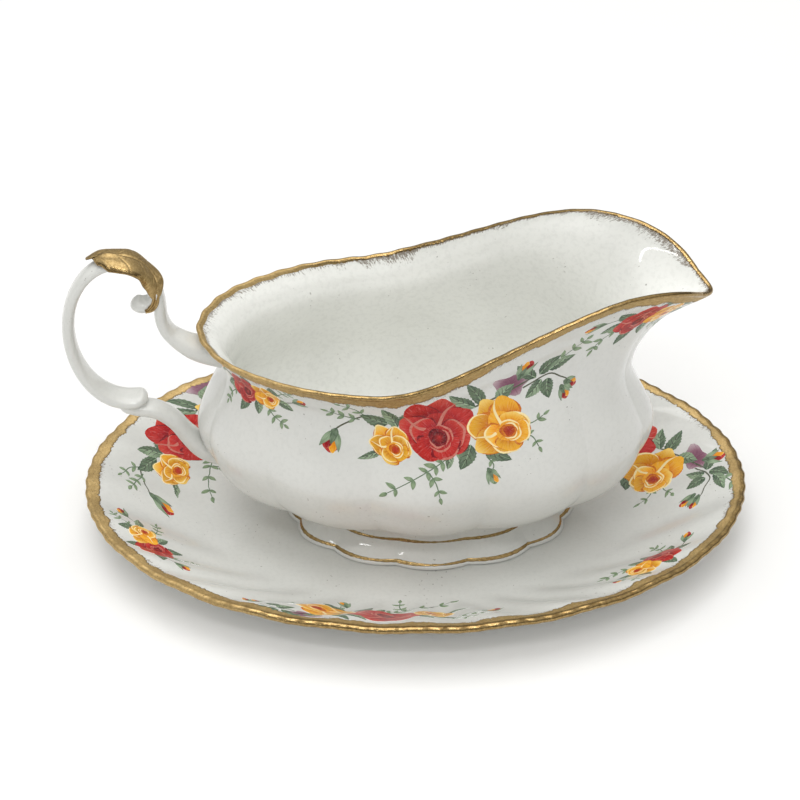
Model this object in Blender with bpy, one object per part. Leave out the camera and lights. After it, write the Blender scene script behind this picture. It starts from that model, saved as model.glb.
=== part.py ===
"""China gravy boat on its oval stand.

The frame is the stand's: +X towards the spout, +Z up, and the origin on the
table under the middle of the stand. Sizes are in millimetres, and become
metres where a mesh is made. The boat's own pieces hang from an empty at the
middle of its foot, which is where the boat lifts off.
"""

import math

import bpy
import numpy as np

MM = 0.001
TOUCHING_GAP = 0.3  # between two pieces that rest on or join each other
SEGMENTS = 64  # round each oval, eight to a lobe

# Stand: a shallow oval dish on a low foot ring.
STAND_LENGTH = 225
STAND_WIDTH = 151
STAND_HEIGHT = 20
STAND_WALL = 3.2
STAND_FOOT_HEIGHT = 2.6
STAND_FOOT_WALL = 3.0
STAND_FOOT_SHARE = 0.54  # of the outline, to the foot ring's outer side
STAND_FOOT_TAPER = 0.5  # narrower at the table on each side
WELL_SHARE = 0.62  # of the outline, to where the flat well begins to rise
WELL_TOP = STAND_FOOT_HEIGHT + STAND_WALL
FLANGE_TURN = 0.84 * math.pi  # of the cosine that the flange rises along

# Boat: where it stands in the well, and the lobes of its body.
BOAT_FORWARD = 5
BOAT_LEVEL = WELL_TOP + TOUCHING_GAP
LOBES = 12
LOBE_ROUNDNESS = 0.95  # power of the cosine; less makes rounder lobes and sharper notches
BOWL_WALL = 2.8

# The boat's ovals, from the foot up: back end, spout end and half width. They
# and the heights are from the middle of the foot's underside.
FOOT_BASE = (-49.5, 49.5, 33.0)
NECK = (-41.0, 41.0, 25.0)
BELLY = (-78.0, 74.5, 44.5)
WAIST = (-70.0, 66.0, 37.0)
NECK_HEIGHT = 13.5
BELLY_HEIGHT = 39.0
UNDERSIDE_HEIGHT = 20.0
UNDERSIDE_SHARE = 0.9  # of the belly oval, where the body turns under
FLOOR_SHARE = 0.85  # of the neck oval, to the inside's floor
FOOT_WALL = 3.0
FOOT_FLARE = 1.8  # power of the curve that the foot spreads along
FOOT_SCALLOP = 0.035  # of the foot's radius, into each notch at its base
WAIST_RISE = 0.62  # of the way up from the belly to the rim
THROAT_REACH = 0.2  # of the way out from the waist to the rim
THROAT_RISE = 0.55  # of the way up from the waist to the rim

# The pouring lip starts where the cosine of the turn is LIP_FROM. Under it the
# waist lies lower and the throat stands further out and up, by these shares.
LIP_FROM = 0.5
LIP_WAIST_DROP = 0.16
LIP_THROAT_REACH = 0.12
LIP_THROAT_RISE = 0.1

RIM_BACK = -76.5
RIM_TIP = 90.3
RIM_MIDDLE = -5.0  # where the opening is widest
RIM_HALF_WIDTH = 39.8
RIM_NARROWING = 0.18  # of the half width lost by the tip
RIM_POINT = 0.17  # more lost in the last of the tip
RIM_POINT_POWER = 8
RIM_LOW = 78.0
RIM_PEAK = 104.5
RIM_RISE_FROM = -23.0
RIM_PEAK_AT = 61.0
TIP_DIP = 13.5
TIP_DIP_POWER = 2.3
LOBE_SHARES = (0, 0.1, 0.3, 0.45, 0.62, 1)  # places up the bowl
LOBE_DEPTHS = (1.0, 2.0, 1.8, 1.4, 0.5, 0.3)  # and how deep the notches are there

# Gilding: let into the rim, and run as lines round the foot.
GILT = 0.5
GILT_OUTSIDE = 4.0
GILT_INSIDE = 2.0
GILT_ROUNDING = 0.7
GILT_LINE = 1.6
GILT_LINES = {"foot_edge_gilding": 0.08, "foot_neck_gilding": 0.5}  # share of the foot's height
STAND_GILT_INSIDE = 4.5
STAND_GILT_OUTSIDE = 2.0

# Handle: a C scroll between two arms, all in the boat's middle plane.
SCROLL_CENTRE = (-100.5, 76.8)
SCROLL_RADII = (17.9, 27.9)
SCROLL_FROM = math.radians(-70)  # the free lower end, by the lower arm
SCROLL_TO = math.radians(-342)  # the upper end, by the volute
SCROLL_CURL = 0.2  # of its radius lost as the upper end curls in
CURL_FROM = math.radians(-275)
STRAP_WIDTH = 7.4
STRAP_THICKNESS = 4.0
UPPER_ARM = ((-96.0, 88.0), (-94.2, 91.4), (-90.2, 91.8), (-87.6, 87.5), (-87.4, 82.0),
             (-85.6, 76.5), (-80.5, 71.5), (-74.0, 69.0), (-66.0, 67.5))
LOWER_ARM = ((-103.5, 46.6), (-98.0, 45.4), (-91.5, 44.2), (-86.0, 40.0), (-81.5, 33.5),
             (-76.0, 27.5), (-70.0, 25.0))
ARM_WIDTH = 8.0
ARM_FLARE = 1.35  # how much wider an arm is where it joins the bowl
LEAF_FROM = math.radians(-232)
LEAF_TO = math.radians(-340)
LEAF_HALF_WIDTH = 6.2
LEAF_THICKNESS = 1.3
LEAF_LIFT = 2.8  # of its underside, from the scroll's middle line
LEAF_DROOP = 0.9  # of its edges, below its midrib
LEAF_STEM = 0.35  # of its width left at the volute

CHINA = (0.83, 0.84, 0.80)
GOLD = (0.62, 0.43, 0.17)


def angles():
    """Angles round an oval, from the spout's end through the +Y side."""
    return np.arange(SEGMENTS) * 2 * math.pi / SEGMENTS


def smooth_step(low, high, value):
    share = np.clip((value - low) / (high - low), 0, 1)
    return share * share * (3 - 2 * share)


def oval(back, front, half_width, turn):
    """The plan of an oval whose two ends need not be equally far off."""
    x = (front + back) / 2 + (front - back) / 2 * np.cos(turn)
    return x, half_width * np.sin(turn)


def level(x, y, height):
    """One closed loop of points, with the height given once or for each."""
    return np.stack([x, y, np.broadcast_to(height, x.shape)], axis=-1)


def notch_depth(turn):
    """0 along the crest of each lobe and 1 in the notch between two."""
    return 1 - np.abs(np.cos(LOBES / 2 * turn)) ** LOBE_ROUNDNESS


def spline(stations, share):
    """Points on the Catmull-Rom curve through the stations, evenly shared."""
    stations = np.asarray(stations, float)
    before = 2 * stations[:1] - stations[1:2]
    after = 2 * stations[-1:] - stations[-2:-1]
    knots = np.concatenate([before, stations, after])
    place = share * (len(stations) - 1)
    first = min(int(place), len(stations) - 2)
    s = place - first
    p0, p1, p2, p3 = knots[first : first + 4]
    return 0.5 * (2 * p1 + (p2 - p0) * s + (2 * p0 - 5 * p1 + 4 * p2 - p3) * s**2
                  + (3 * p1 - p0 - 3 * p2 + p3) * s**3)


def rim_loop(turn):
    """The boat's rim, an egg in plan that rises to a beak at the spout."""
    forward = np.clip(np.cos(turn), 0, 1)
    reach = np.where(np.cos(turn) > 0, RIM_TIP - RIM_MIDDLE, RIM_MIDDLE - RIM_BACK)
    x = RIM_MIDDLE + reach * np.cos(turn)
    narrowing = 1 - RIM_NARROWING * forward - RIM_POINT * forward**RIM_POINT_POWER
    y = RIM_HALF_WIDTH * np.sin(turn) * narrowing
    height = RIM_LOW + (RIM_PEAK - RIM_LOW) * smooth_step(RIM_RISE_FROM, RIM_PEAK_AT, x)
    past_peak = np.clip((x - RIM_PEAK_AT) / (RIM_TIP - RIM_PEAK_AT), 0, 1)
    return level(x, y, height - TIP_DIP * past_peak**TIP_DIP_POWER)


def bowl_stations(turn):
    """The loops that the bowl's outside passes through, from the foot up."""
    rim = rim_loop(turn)
    belly = level(*oval(*BELLY, turn), BELLY_HEIGHT)
    middle = np.array([(BELLY[0] + BELLY[1]) / 2, 0, 0])
    underside = middle + (belly - middle) * UNDERSIDE_SHARE
    underside[:, 2] = UNDERSIDE_HEIGHT
    lip = smooth_step(LIP_FROM, 1, np.cos(turn))
    waist_rise = WAIST_RISE - LIP_WAIST_DROP * lip
    waist = level(*oval(*WAIST, turn), BELLY_HEIGHT + (rim[:, 2] - BELLY_HEIGHT) * waist_rise)
    throat_reach = THROAT_REACH + LIP_THROAT_REACH * lip
    throat_rise = THROAT_RISE + LIP_THROAT_RISE * lip
    throat = waist + (rim - waist) * np.stack([throat_reach, throat_reach, throat_rise], axis=1)
    return [level(*oval(*NECK, turn), NECK_HEIGHT), underside, belly, waist, throat, rim]


def bowl_loop(turn, share):
    """A loop of the bowl's outside, from 0 at the foot to 1 at the rim."""
    loop = spline(bowl_stations(turn), share)
    depth = np.interp(share, LOBE_SHARES, LOBE_DEPTHS)
    middle = np.array([(BELLY[0] + BELLY[1]) / 2, 0])
    spoke = loop[:, :2] - middle
    length = np.linalg.norm(spoke, axis=1)
    loop[:, :2] = middle + spoke * (1 - depth * notch_depth(turn) / length)[:, None]
    return loop


def dish_loop(turn, share):
    """A loop of the stand's upper face, from 0 at its middle to 1 at its rim."""
    rise = np.clip((share - WELL_SHARE) / (1 - WELL_SHARE), 0, 1)
    climb = (1 - math.cos(FLANGE_TURN * rise)) / (1 - math.cos(FLANGE_TURN))
    height = WELL_TOP + (STAND_HEIGHT - WELL_TOP) * climb
    x, y = oval(-STAND_LENGTH / 2 * share, STAND_LENGTH / 2 * share, STAND_WIDTH / 2 * share, turn)
    return level(x, y, height)


class Wall:
    """A china wall behind a surface made of loops, given its thickness.

    facing is 1 where the wall lies inside loops that climb, as on the bowl,
    and -1 where it lies under loops that spread, as on the stand.
    """

    STEP = 1e-3

    def __init__(self, surface, thickness, facing):
        self.surface = surface
        self.thickness = thickness
        self.facing = facing

    def inward(self, turn, share):
        """Unit vectors from the surface into the wall."""
        share = min(share, 1 - self.STEP)
        along = self.surface(turn, share + self.STEP) - self.surface(turn, share)
        around = self.surface(turn + self.STEP, share) - self.surface(turn - self.STEP, share)
        normal = np.cross(along, around) * self.facing
        return normal / np.linalg.norm(normal, axis=1)[:, None]

    def loop(self, turn, share, depth):
        """The surface's loop at the share, moved so deep into the wall."""
        return self.surface(turn, share) + self.inward(turn, share) * depth

    def edge(self, turn, back, depth):
        """A loop so far back from the rim, and so deep in the wall."""
        rim = self.surface(turn, 1.0)
        down = self.surface(turn, 1 - self.STEP) - rim
        down /= np.linalg.norm(down, axis=1)[:, None]
        return rim + down * back + self.inward(turn, 1.0) * depth


def add_object(name, vertices, faces, colour, parent=None):
    """A named object of one mesh, in its parent's frame, with its own material."""
    mesh = bpy.data.meshes.new(name)
    mesh.from_pydata((np.asarray(vertices) * MM).tolist(), [], faces)
    mesh.update()
    mesh.shade_smooth()
    mesh.set_sharp_from_angle(angle=math.radians(35))
    made = bpy.data.objects.new(name, mesh)
    bpy.context.scene.collection.objects.link(made)
    made.parent = parent
    material = bpy.data.materials.new(name)
    material.use_nodes = True
    shader = material.node_tree.nodes["Principled BSDF"]
    shader.inputs["Base Color"].default_value = (*colour, 1)
    shader.inputs["Roughness"].default_value = 0.12
    shader.inputs["Metallic"].default_value = 1.0 if colour == GOLD else 0.0
    made.data.materials.append(material)
    return made


def skin_faces(count, size, ring):
    """Quads between successive loops; a ring's last loop meets its first."""
    faces = []
    for row in range(count if ring else count - 1):
        after = (row + 1) % count
        for i in range(size):
            j = (i + 1) % size
            faces.append((row * size + i, row * size + j, after * size + j, after * size + i))
    if not ring:
        faces.append(tuple(reversed(range(size))))
        faces.append(tuple(range((count - 1) * size, count * size)))
    return faces


def loft(name, loops, colour, parent=None, ring=False):
    """A closed body through the loops, capped at its ends unless it is a ring."""
    faces = skin_faces(len(loops), len(loops[0]), ring)
    return add_object(name, np.concatenate(loops), faces, colour, parent)


def make_cutter(piece):
    piece.hide_render = True
    piece.display_type = "WIRE"
    return piece


def add_boolean(piece, operation, other):
    change = piece.modifiers.new(operation.title(), "BOOLEAN")
    change.operation = operation
    change.solver = "EXACT"
    change.object = make_cutter(other)


def rim_core(wall, turn, outside, inside):
    """The wall's loops at its rim, cut back on both faces to hold the gilding."""
    rebate = GILT + TOUCHING_GAP
    return [
        wall.edge(turn, outside, 0),
        wall.edge(turn, outside, rebate),
        wall.edge(turn, rebate, rebate),
        wall.edge(turn, rebate, wall.thickness - rebate),
        wall.edge(turn, inside, wall.thickness - rebate),
        wall.edge(turn, inside, wall.thickness),
    ]


def rim_gilding(wall, turn, outside, inside):
    """The loops of the gilt channel that covers a rim."""
    outside -= TOUCHING_GAP
    inside -= TOUCHING_GAP
    return [
        wall.edge(turn, outside, GILT),
        wall.edge(turn, outside, 0),
        wall.edge(turn, GILT_ROUNDING, 0),
        wall.edge(turn, 0, wall.thickness / 2),
        wall.edge(turn, GILT_ROUNDING, wall.thickness),
        wall.edge(turn, inside, wall.thickness),
        wall.edge(turn, inside, wall.thickness - GILT),
        wall.edge(turn, GILT, wall.thickness - GILT),
        wall.edge(turn, GILT, GILT),
    ]


def make_stand():
    turn = angles()
    dish = Wall(dish_loop, STAND_WALL, -1)
    shares = (0.2, WELL_SHARE, 0.68, 0.76, 0.84, 0.92)
    upper = [dish.loop(turn, share, 0) for share in shares]
    lower = [dish.loop(turn, share, STAND_WALL) for share in reversed(shares)]
    core = rim_core(dish, turn, STAND_GILT_INSIDE, STAND_GILT_OUTSIDE)
    loft("stand_plate", (upper + core + lower)[::-1], CHINA)
    gilt = rim_gilding(dish, turn, STAND_GILT_INSIDE, STAND_GILT_OUTSIDE)
    loft("stand_rim_gilding", gilt[::-1], GOLD, ring=True)

    top = STAND_FOOT_HEIGHT - TOUCHING_GAP
    outside = np.array([STAND_LENGTH, STAND_WIDTH]) / 2 * STAND_FOOT_SHARE
    inside = outside - STAND_FOOT_WALL
    ring = []
    for (reach_x, reach_y), height in (
        (outside, top),
        (inside, top),
        (inside + STAND_FOOT_TAPER, 0),
        (outside - STAND_FOOT_TAPER, 0),
    ):
        ring.append(level(*oval(-reach_x, reach_x, reach_y, turn), height))
    loft("stand_foot_ring", ring, CHINA, ring=True)


def make_bowl(boat):
    turn = angles()
    bowl = Wall(bowl_loop, BOWL_WALL, 1)
    shares = (0.07, 0.16, 0.26, 0.36, 0.46, 0.56, 0.66, 0.75, 0.83, 0.9)
    outer = [bowl.loop(turn, share, 0) for share in (0.0, *shares)]
    inner = [bowl.loop(turn, share, BOWL_WALL) for share in reversed(shares)]
    floor = level(*oval(*NECK, turn), NECK_HEIGHT + BOWL_WALL)
    floor[:, :2] *= FLOOR_SHARE
    core = rim_core(bowl, turn, GILT_OUTSIDE, GILT_INSIDE)
    loft("bowl", outer + core + inner + [floor], CHINA, boat)
    gilt = rim_gilding(bowl, turn, GILT_OUTSIDE, GILT_INSIDE)
    loft("bowl_rim_gilding", gilt, GOLD, boat, ring=True)


def foot_loop(turn, share, off=0.0):
    """A loop of the foot's outside, from 0 at its base to 1 at its top, moved outwards by off."""
    base = np.array(FOOT_BASE)
    top = np.array(NECK)
    x, y = oval(*(top + (base - top) * (1 - share) ** FOOT_FLARE), turn)
    grow = 1 - FOOT_SCALLOP * (1 - share) * notch_depth(turn) + off / np.hypot(x, y)
    return level(x * grow, y * grow, (NECK_HEIGHT - TOUCHING_GAP) * share)


def make_foot(boat):
    turn = angles()
    line = GILT_LINE / NECK_HEIGHT
    edges = [(name, low, low + line) for name, low in GILT_LINES.items()]
    shares = sorted([0.0, 0.45, 1.0] + [share for _, low, high in edges for share in (low, high)])
    outer = [foot_loop(turn, share) for share in shares]
    inner = [foot_loop(turn, share, -FOOT_WALL) for share in reversed(shares)]
    loft("foot", outer + inner, CHINA, boat, ring=True)
    for name, low, high in edges:
        near = [foot_loop(turn, share, TOUCHING_GAP) for share in (low, high)]
        far = [foot_loop(turn, share, TOUCHING_GAP + GILT) for share in (high, low)]
        loft(name, (near + far)[::-1], GOLD, boat, ring=True)


def strap_section(width, thickness):
    """An oval strap's cross-section: across the handle, and outwards."""
    turn = np.arange(10) * 2 * math.pi / 10
    return np.stack([np.sin(turn) * width / 2, np.cos(turn) * thickness / 2], axis=-1)


def sweep(name, path, widths, thicknesses, parent):
    """A strap swept along a path in the middle plane, with its ends capped."""
    path = np.asarray(path, float)
    heading = np.gradient(path, axis=0)
    heading /= np.linalg.norm(heading, axis=1)[:, None]
    loops = []
    for place, along, width, thickness in zip(path, heading, widths, thicknesses):
        across, out = strap_section(width, thickness).T
        x = place[0] - along[1] * out
        z = place[1] + along[0] * out
        loops.append(np.stack([x, across, z], axis=-1))
    return loft(name, loops[::-1], CHINA, parent)


def scroll_point(turn, out=0.0):
    """A point on the C scroll's ellipse, so far outside its middle line."""
    curl = 1 - SCROLL_CURL * smooth_step(0, 1, (turn - CURL_FROM) / (SCROLL_TO - CURL_FROM))
    x = SCROLL_CENTRE[0] + (SCROLL_RADII[0] * curl + out) * math.cos(turn)
    return x, SCROLL_CENTRE[1] + (SCROLL_RADII[1] * curl + out) * math.sin(turn)


def make_handle(boat):
    steps = 30
    turns = np.linspace(SCROLL_FROM, SCROLL_TO, steps)
    share = np.linspace(0, 1, steps)
    scroll = sweep(
        "handle",
        [scroll_point(turn) for turn in turns],
        STRAP_WIDTH * (1.1 - 0.2 * share),
        STRAP_THICKNESS * np.interp(share, [0, 0.15, 0.6, 1], [1.15, 1.0, 0.95, 0.8]),
        boat,
    )
    for name, stations in (("upper_arm", UPPER_ARM), ("lower_arm", LOWER_ARM)):
        places = np.linspace(0, 1, 16)
        arm = sweep(
            name,
            [spline(stations, place) for place in places],
            ARM_WIDTH * np.interp(places, [0, 0.6, 1], [0.85, 1.0, ARM_FLARE]),
            STRAP_THICKNESS * np.interp(places, [0, 0.2, 0.6, 1], [1.2, 1.0, 1.05, 1.5]),
            boat,
        )
        add_boolean(scroll, "UNION", arm)
    bowl = Wall(bowl_loop, BOWL_WALL, 1)
    room = [bowl.loop(angles(), share, -TOUCHING_GAP) for share in np.linspace(0.05, 1, 20)]
    add_boolean(scroll, "DIFFERENCE", loft("bowl_room", room, CHINA, boat))


def leaf_point(turn, side, half_width, lift):
    """A point of the leaf at a side from -1 to 1, whose edges lie lower than its midrib."""
    x, z = scroll_point(turn, lift - LEAF_DROOP * side * side * half_width / LEAF_HALF_WIDTH)
    return x, side * half_width, z


def make_leaf(boat):
    """The gilt thumb leaf: a thin arched blade over the top of the scroll."""
    across = np.linspace(-1, 1, 7)
    loops = []
    for share in np.linspace(0, 1, 18):
        turn = LEAF_FROM + (LEAF_TO - LEAF_FROM) * share
        swell = math.sin(math.pi * (0.25 + 0.75 * share))
        half_width = LEAF_HALF_WIDTH * (LEAF_STEM + (1 - LEAF_STEM) * swell)
        inner = [leaf_point(turn, side, half_width, LEAF_LIFT) for side in across]
        outer = [leaf_point(turn, side, half_width, LEAF_LIFT + LEAF_THICKNESS) for side in across]
        loops.append(np.array(inner + outer[::-1]))
    loft("thumb_leaf", loops, GOLD, boat)


def main():
    for existing in list(bpy.data.objects):
        bpy.data.objects.remove(existing, do_unlink=True)
    make_stand()
    boat = bpy.data.objects.new("boat", None)
    boat.location = (BOAT_FORWARD * MM, 0, BOAT_LEVEL * MM)
    bpy.context.scene.collection.objects.link(boat)
    make_bowl(boat)
    make_foot(boat)
    make_handle(boat)
    make_leaf(boat)


main()
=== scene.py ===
"""The looks of a china gravy boat on its oval stand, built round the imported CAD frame.

Shapes are worked out in millimetres and become metres where a mesh is made. A
surface is a function of a turn round the piece and a share of the way up it, so
that the china, the gilding and the printed flowers all follow the same relief.
"""
import math

import bpy
import numpy as np
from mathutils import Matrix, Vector
from mathutils.geometry import delaunay_2d_cdt


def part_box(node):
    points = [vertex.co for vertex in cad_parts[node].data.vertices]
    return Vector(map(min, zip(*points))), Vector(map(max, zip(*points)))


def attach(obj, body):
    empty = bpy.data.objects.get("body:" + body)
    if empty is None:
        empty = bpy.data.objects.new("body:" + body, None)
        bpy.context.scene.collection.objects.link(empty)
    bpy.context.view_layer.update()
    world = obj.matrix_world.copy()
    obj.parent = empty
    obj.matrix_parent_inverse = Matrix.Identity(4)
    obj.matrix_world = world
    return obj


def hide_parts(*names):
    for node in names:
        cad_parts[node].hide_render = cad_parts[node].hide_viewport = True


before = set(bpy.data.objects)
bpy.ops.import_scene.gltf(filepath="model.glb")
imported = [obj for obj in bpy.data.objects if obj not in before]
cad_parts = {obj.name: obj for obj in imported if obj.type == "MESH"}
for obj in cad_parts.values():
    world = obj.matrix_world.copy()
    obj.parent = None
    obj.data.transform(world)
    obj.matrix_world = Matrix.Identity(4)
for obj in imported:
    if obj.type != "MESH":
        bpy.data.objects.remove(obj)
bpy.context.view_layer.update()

MM = 0.001
TAU = 2 * math.pi


def box_mm(node):
    """A CAD node's lowest and highest corners, in millimetres."""
    low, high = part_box(node)
    return np.array(low) / MM, np.array(high) / MM


FOOT_BOX = box_mm("foot")
STAND_BOX = box_mm("stand_rim_gilding")
BOAT_PLACE = np.array([(FOOT_BOX[0][0] + FOOT_BOX[1][0]) / 2, 0, FOOT_BOX[0][2]])

# The stand, from its box.
STAND_RIM_WALL = 2.4
STAND_RIM_ROUNDING = 1.9  # that the rolled rim stands out past its middle line
STAND_LENGTH = STAND_BOX[1][0] - STAND_BOX[0][0] - 2 * STAND_RIM_ROUNDING
STAND_WIDTH = STAND_BOX[1][1] - STAND_BOX[0][1] - 2 * STAND_RIM_ROUNDING
STAND_HEIGHT = STAND_BOX[1][2] - 0.1
STAND_WALL = 3.2
WELL_SHARE = 0.62  # where the dish's flat middle ends
WELL_TOP = BOAT_PLACE[2] - 0.3
FLANGE_TURN = 0.84 * math.pi  # of a cosine wave, which is the flange's section
STAND_WAVES = 96
STAND_WAVE_HEIGHT = 0.16
FLUTES = 24
FLUTE_DEPTH = 0.7
FLUTE_SWEEP = 0.9
FOOT_RING_SHARE = 0.54
FOOT_RING_WIDTH = 3.0
STAND_COLUMNS = 960

# The boat: ovals as back end, spout end and half width, from the foot's middle.
FOOT_BASE = (-49.5, 49.5, 33.0)
NECK = (-41.0, 41.0, 25.0)
BELLY = (-78.0, 74.5, 44.5)
WAIST = (-70.0, 66.0, 37.0)
NECK_HEIGHT = 13.5
BELLY_HEIGHT = 39.0
UNDERSIDE_HEIGHT = 21.0
UNDERSIDE_SHARE = 0.87
FOOT_SCALLOP = 0.04
WAIST_RISE = 0.62
THROAT_REACH = 0.2
THROAT_RISE = 0.55
LIP_FROM = 0.5  # the cosine of the turn where the pouring lip starts
LIP_WAIST_DROP = 0.16
LIP_THROAT_REACH = 0.12
LIP_THROAT_RISE = 0.1
BOWL_WALL = 2.8
RIM_WALL = 1.5
LOBES = 12
LOBE_ROUNDNESS = 0.95  # power of the cosine; less makes rounder lobes and sharper notches
INSIDE_ROUNDNESS = 2.0
LOBE_SHARES = (0, 0.1, 0.3, 0.45, 0.62, 1)  # places up the bowl
LOBE_DEPTHS = (1.0, 2.5, 2.3, 1.6, 0.6, 0.3)  # and how deep the notches are there
LIP_NOTCH = 0.6  # that they are deeper under the lip

# The boat's rim: its plan, and its height along it.
RIM_BACK = -76.5
RIM_TIP = 90.3
RIM_MIDDLE = -5.0
RIM_HALF_WIDTH = 39.8
RIM_NARROWING = 0.18
RIM_POINT = 0.17
RIM_LOW = 78.0
RIM_PEAK = 104.5
RIM_RISE_FROM = -23.0
RIM_PEAK_AT = 61.0
TIP_DIP = 13.5
TIP_DIP_POWER = 2.3
RIM_WAVES = 48
RIM_WAVE_HEIGHT = 0.11
ROLL_LOOPS = 7
BOAT_COLUMNS = 640
# The hollow under the foot: how far inside its edge and how high, from the roof outwards.
FOOT_HOLLOW = ((16.0, 9.5), (10.5, 8.8), (7.8, 5.0), (4.2, 1.0), (3.0, 0.15), (2.2, 0.0), (0.5, 0.0),
               (0.1, 0.25))

# The gilding: a thin skin, and how far it reaches down outside and inside each rim.
GILT_SKIN = 0.06
GILT_SINK = 0.05
STAND_GILT = (3.1, 2.2)
STAND_GILT_LOSS = 0.35  # of the upper band's width at the back
BOAT_GILT = (3.5, 2.4)
LIP_GILT_CHANGE = (0.25, -0.86)  # of the outside and inside bands' widths at the pouring lip
LEAST_GILT = 0.15
STAND_GILT_COLUMNS = 2000
BOAT_GILT_COLUMNS = 1600
FOOT_LINES = (("foot_edge", 0.1), ("foot_neck", 0.55))  # name and place up the foot
FOOT_LINE_WIDTH = 0.8
FOOT_LINE_COLUMNS = 900
FOOT_LINE_LENGTH = 240
GILT_SEEDS = {"stand": 13, "boat": 12, "foot": 17}
# How burnished the gilding is away from the rim's crest; burnish also paints it a darker gold, as painted
# shade for the dark reflections of polished gold.
BURNISH_AND_SHADE = {"stand": 0.0, "boat": 0.5, "foot": 0.6}  # away from the rim's crest

# The handle and its leaf, in the boat's middle plane.
SCROLL_CENTRE = (-100.3, 76.8)
SCROLL_RADII = (17.9, 27.9)
SCROLL_FROM = math.radians(-70)
SCROLL_CURL = 0.2
CURL_FROM = math.radians(-275)
CURL_TO = math.radians(-342)
VOLUTE_FROM = math.radians(-308)
VOLUTE = ((-89.2, 91.8), (-91.0, 88.7), (-94.2, 88.0), (-96.6, 89.9))
STRAP_WIDTH = 7.4
STRAP_THICKNESS = 4.0
STRAP_SQUARENESS = 0.8
UPPER_ARM = ((-89.7, 97.5), (-88.3, 93.0), (-87.9, 88.0), (-87.6, 82.0), (-85.6, 76.8), (-81.0, 72.4),
             (-75.5, 69.6), (-66.0, 67.5))
LOWER_ARM = ((-103.5, 46.6), (-98.0, 45.4), (-91.5, 44.2), (-86.0, 40.0), (-81.5, 33.5),
             (-76.0, 27.5), (-66.0, 24.0))
ARM_WIDTH = 8.0
ARM_FLARE = 1.35
HANDLE_CELL = 0.38
LEAF_FROM = 0.655
LEAF_TO = 0.955
LEAF_TURN = math.radians(86)  # that its tail turns over the near side of the volute
LEAF_HALF_WIDTH = 6.4
LEAF_THICKNESS = 1.0
LEAF_LIFT = 1.8
LEAF_TIP_LIFT = 1.6  # that its forked tips stand off the scroll
# The leaf's burnish, which also paints it a darker gold as painted shade.
LEAF_BURNISH_AND_SHADE = 0.6  # at least
LEAF_DROOP = 2.6
LEAF_TAIL = 1.2
LEAF_FORK = 0.12
LEAF_NOTCH = -0.1
LEAF_LAG = 0.1

# The printed sprays: name, art, the turn they stand at in degrees, how far they are raised in
# millimetres, and their scale along and up the wall.
PRINT_SKIN = 0.045
PRINT_SINK = 0.03
PRINT_CELL = 0.7
PRINT_TOP = 0.985  # above this share the gilding starts, and no print is laid
BOAT_SHEET = (0.4, 0.2)  # the share of a sheet's base line, and the lowest that it covers
STAND_SHEET = (1.0, 0.5)
WHOLE = (1.0, 1.0)
SMALLER = (0.8, 0.8)
LOW = (1.0, 0.62)
BOAT_SPRAYS = (("near_spray", "main", -78, 0, WHOLE), ("far_spray", "main", 98, 0, WHOLE),
               ("near_handle_spray", "small", -145, 30.5, SMALLER),
               ("far_handle_spray", "small", 146, 30.5, SMALLER),
               ("near_lip_spray", "small", -28, 59, WHOLE), ("far_lip_spray", "small", 28, 59, WHOLE))
STAND_SPRAYS = (("stand_front_spray", "main", -104, -31, LOW),
                ("stand_right_spray", "main", 21, -54, WHOLE),
                ("stand_left_spray", "main", 142, -46, WHOLE),
                ("stand_back_spray", "small", 82, -13, SMALLER),
                ("stand_near_left_spray", "small", -155, -12.5, SMALLER),
                ("stand_near_right_spray", "small", -37, -12.5, SMALLER))

# Colours as a shader takes them.
CHINA = (0.71, 0.715, 0.685)
# Painted light: the bowl's inside takes a paler china colour than its outside.
INSIDE_CHINA_PAINTED_LIGHT = (0.88, 0.885, 0.85)
CHINA_SHADE = (0.94, 0.94, 0.94)
CHINA_GREY = (0.52, 0.53, 0.50)
SPECK = (0.16, 0.14, 0.12)
HAIR = (0.13, 0.085, 0.045)
HAIR_REACH = 4.0
GOLD = (0.53, 0.375, 0.165)
GOLD_PALE = (0.68, 0.51, 0.25)
# Painted shade: darker golds for burnished parts, standing in for the dark surroundings that polished
# gold reflects.
PAINTED_SHADE_GOLD = (0.25, 0.16, 0.06)
PAINTED_SHADE_GOLD_PALE = (0.42, 0.3, 0.135)
FLOOR_REACH = 3000
FLOOR_TONES = ((0.9, 0.9, 0.9), (0.93, 0.93, 0.93))

# The camera and the light, in metres.
CAMERA_ANGLES = (-0.9, 39)
CAMERA_TARGET = (-0.0052, 0.010, 0.045)
CAMERA_DISTANCE = 0.9
CAMERA_LENS = 119.9
SUBJECT = (0, 0, 0.05)
LIGHTS = (("key", (-0.1, 0.0, 1.3), (1.0, 0.8), 6.5),  # name, place, size and watts
          ("strip", (-0.1, -0.7, 1.1), (0.6, 0.09), 2.2),
          ("glint", (-0.66, -0.84, 0.58), (0.3, 0.03), 0.5))
WORLD_RISE = (0.05, 0.75)  # from this height to that on a unit sky
WORLD_LIGHT = (0.13, 0.9)  # its light goes from this to that
BACKDROP = 0.9  # how bright it looks beyond the floor


def smooth_step(low, high, value):
    share = np.clip((np.asarray(value, float) - low) / (high - low), 0, 1)
    return share * share * (3 - 2 * share)


def oval(ends, turn):
    """The plan of an oval given as its back end, its front end and its half width."""
    back, front, half_width = ends
    return (front + back) / 2 + (front - back) / 2 * np.cos(turn), half_width * np.sin(turn)


def points(x, y, z):
    return np.stack(np.broadcast_arrays(x, y, z), axis=-1).astype(float)


def unit(vectors):
    return vectors / np.linalg.norm(vectors, axis=-1, keepdims=True)


def lengths(path):
    """How far along a path each of its places lies."""
    return np.concatenate([[0], np.cumsum(np.linalg.norm(np.diff(path, axis=0), axis=1))])


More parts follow.
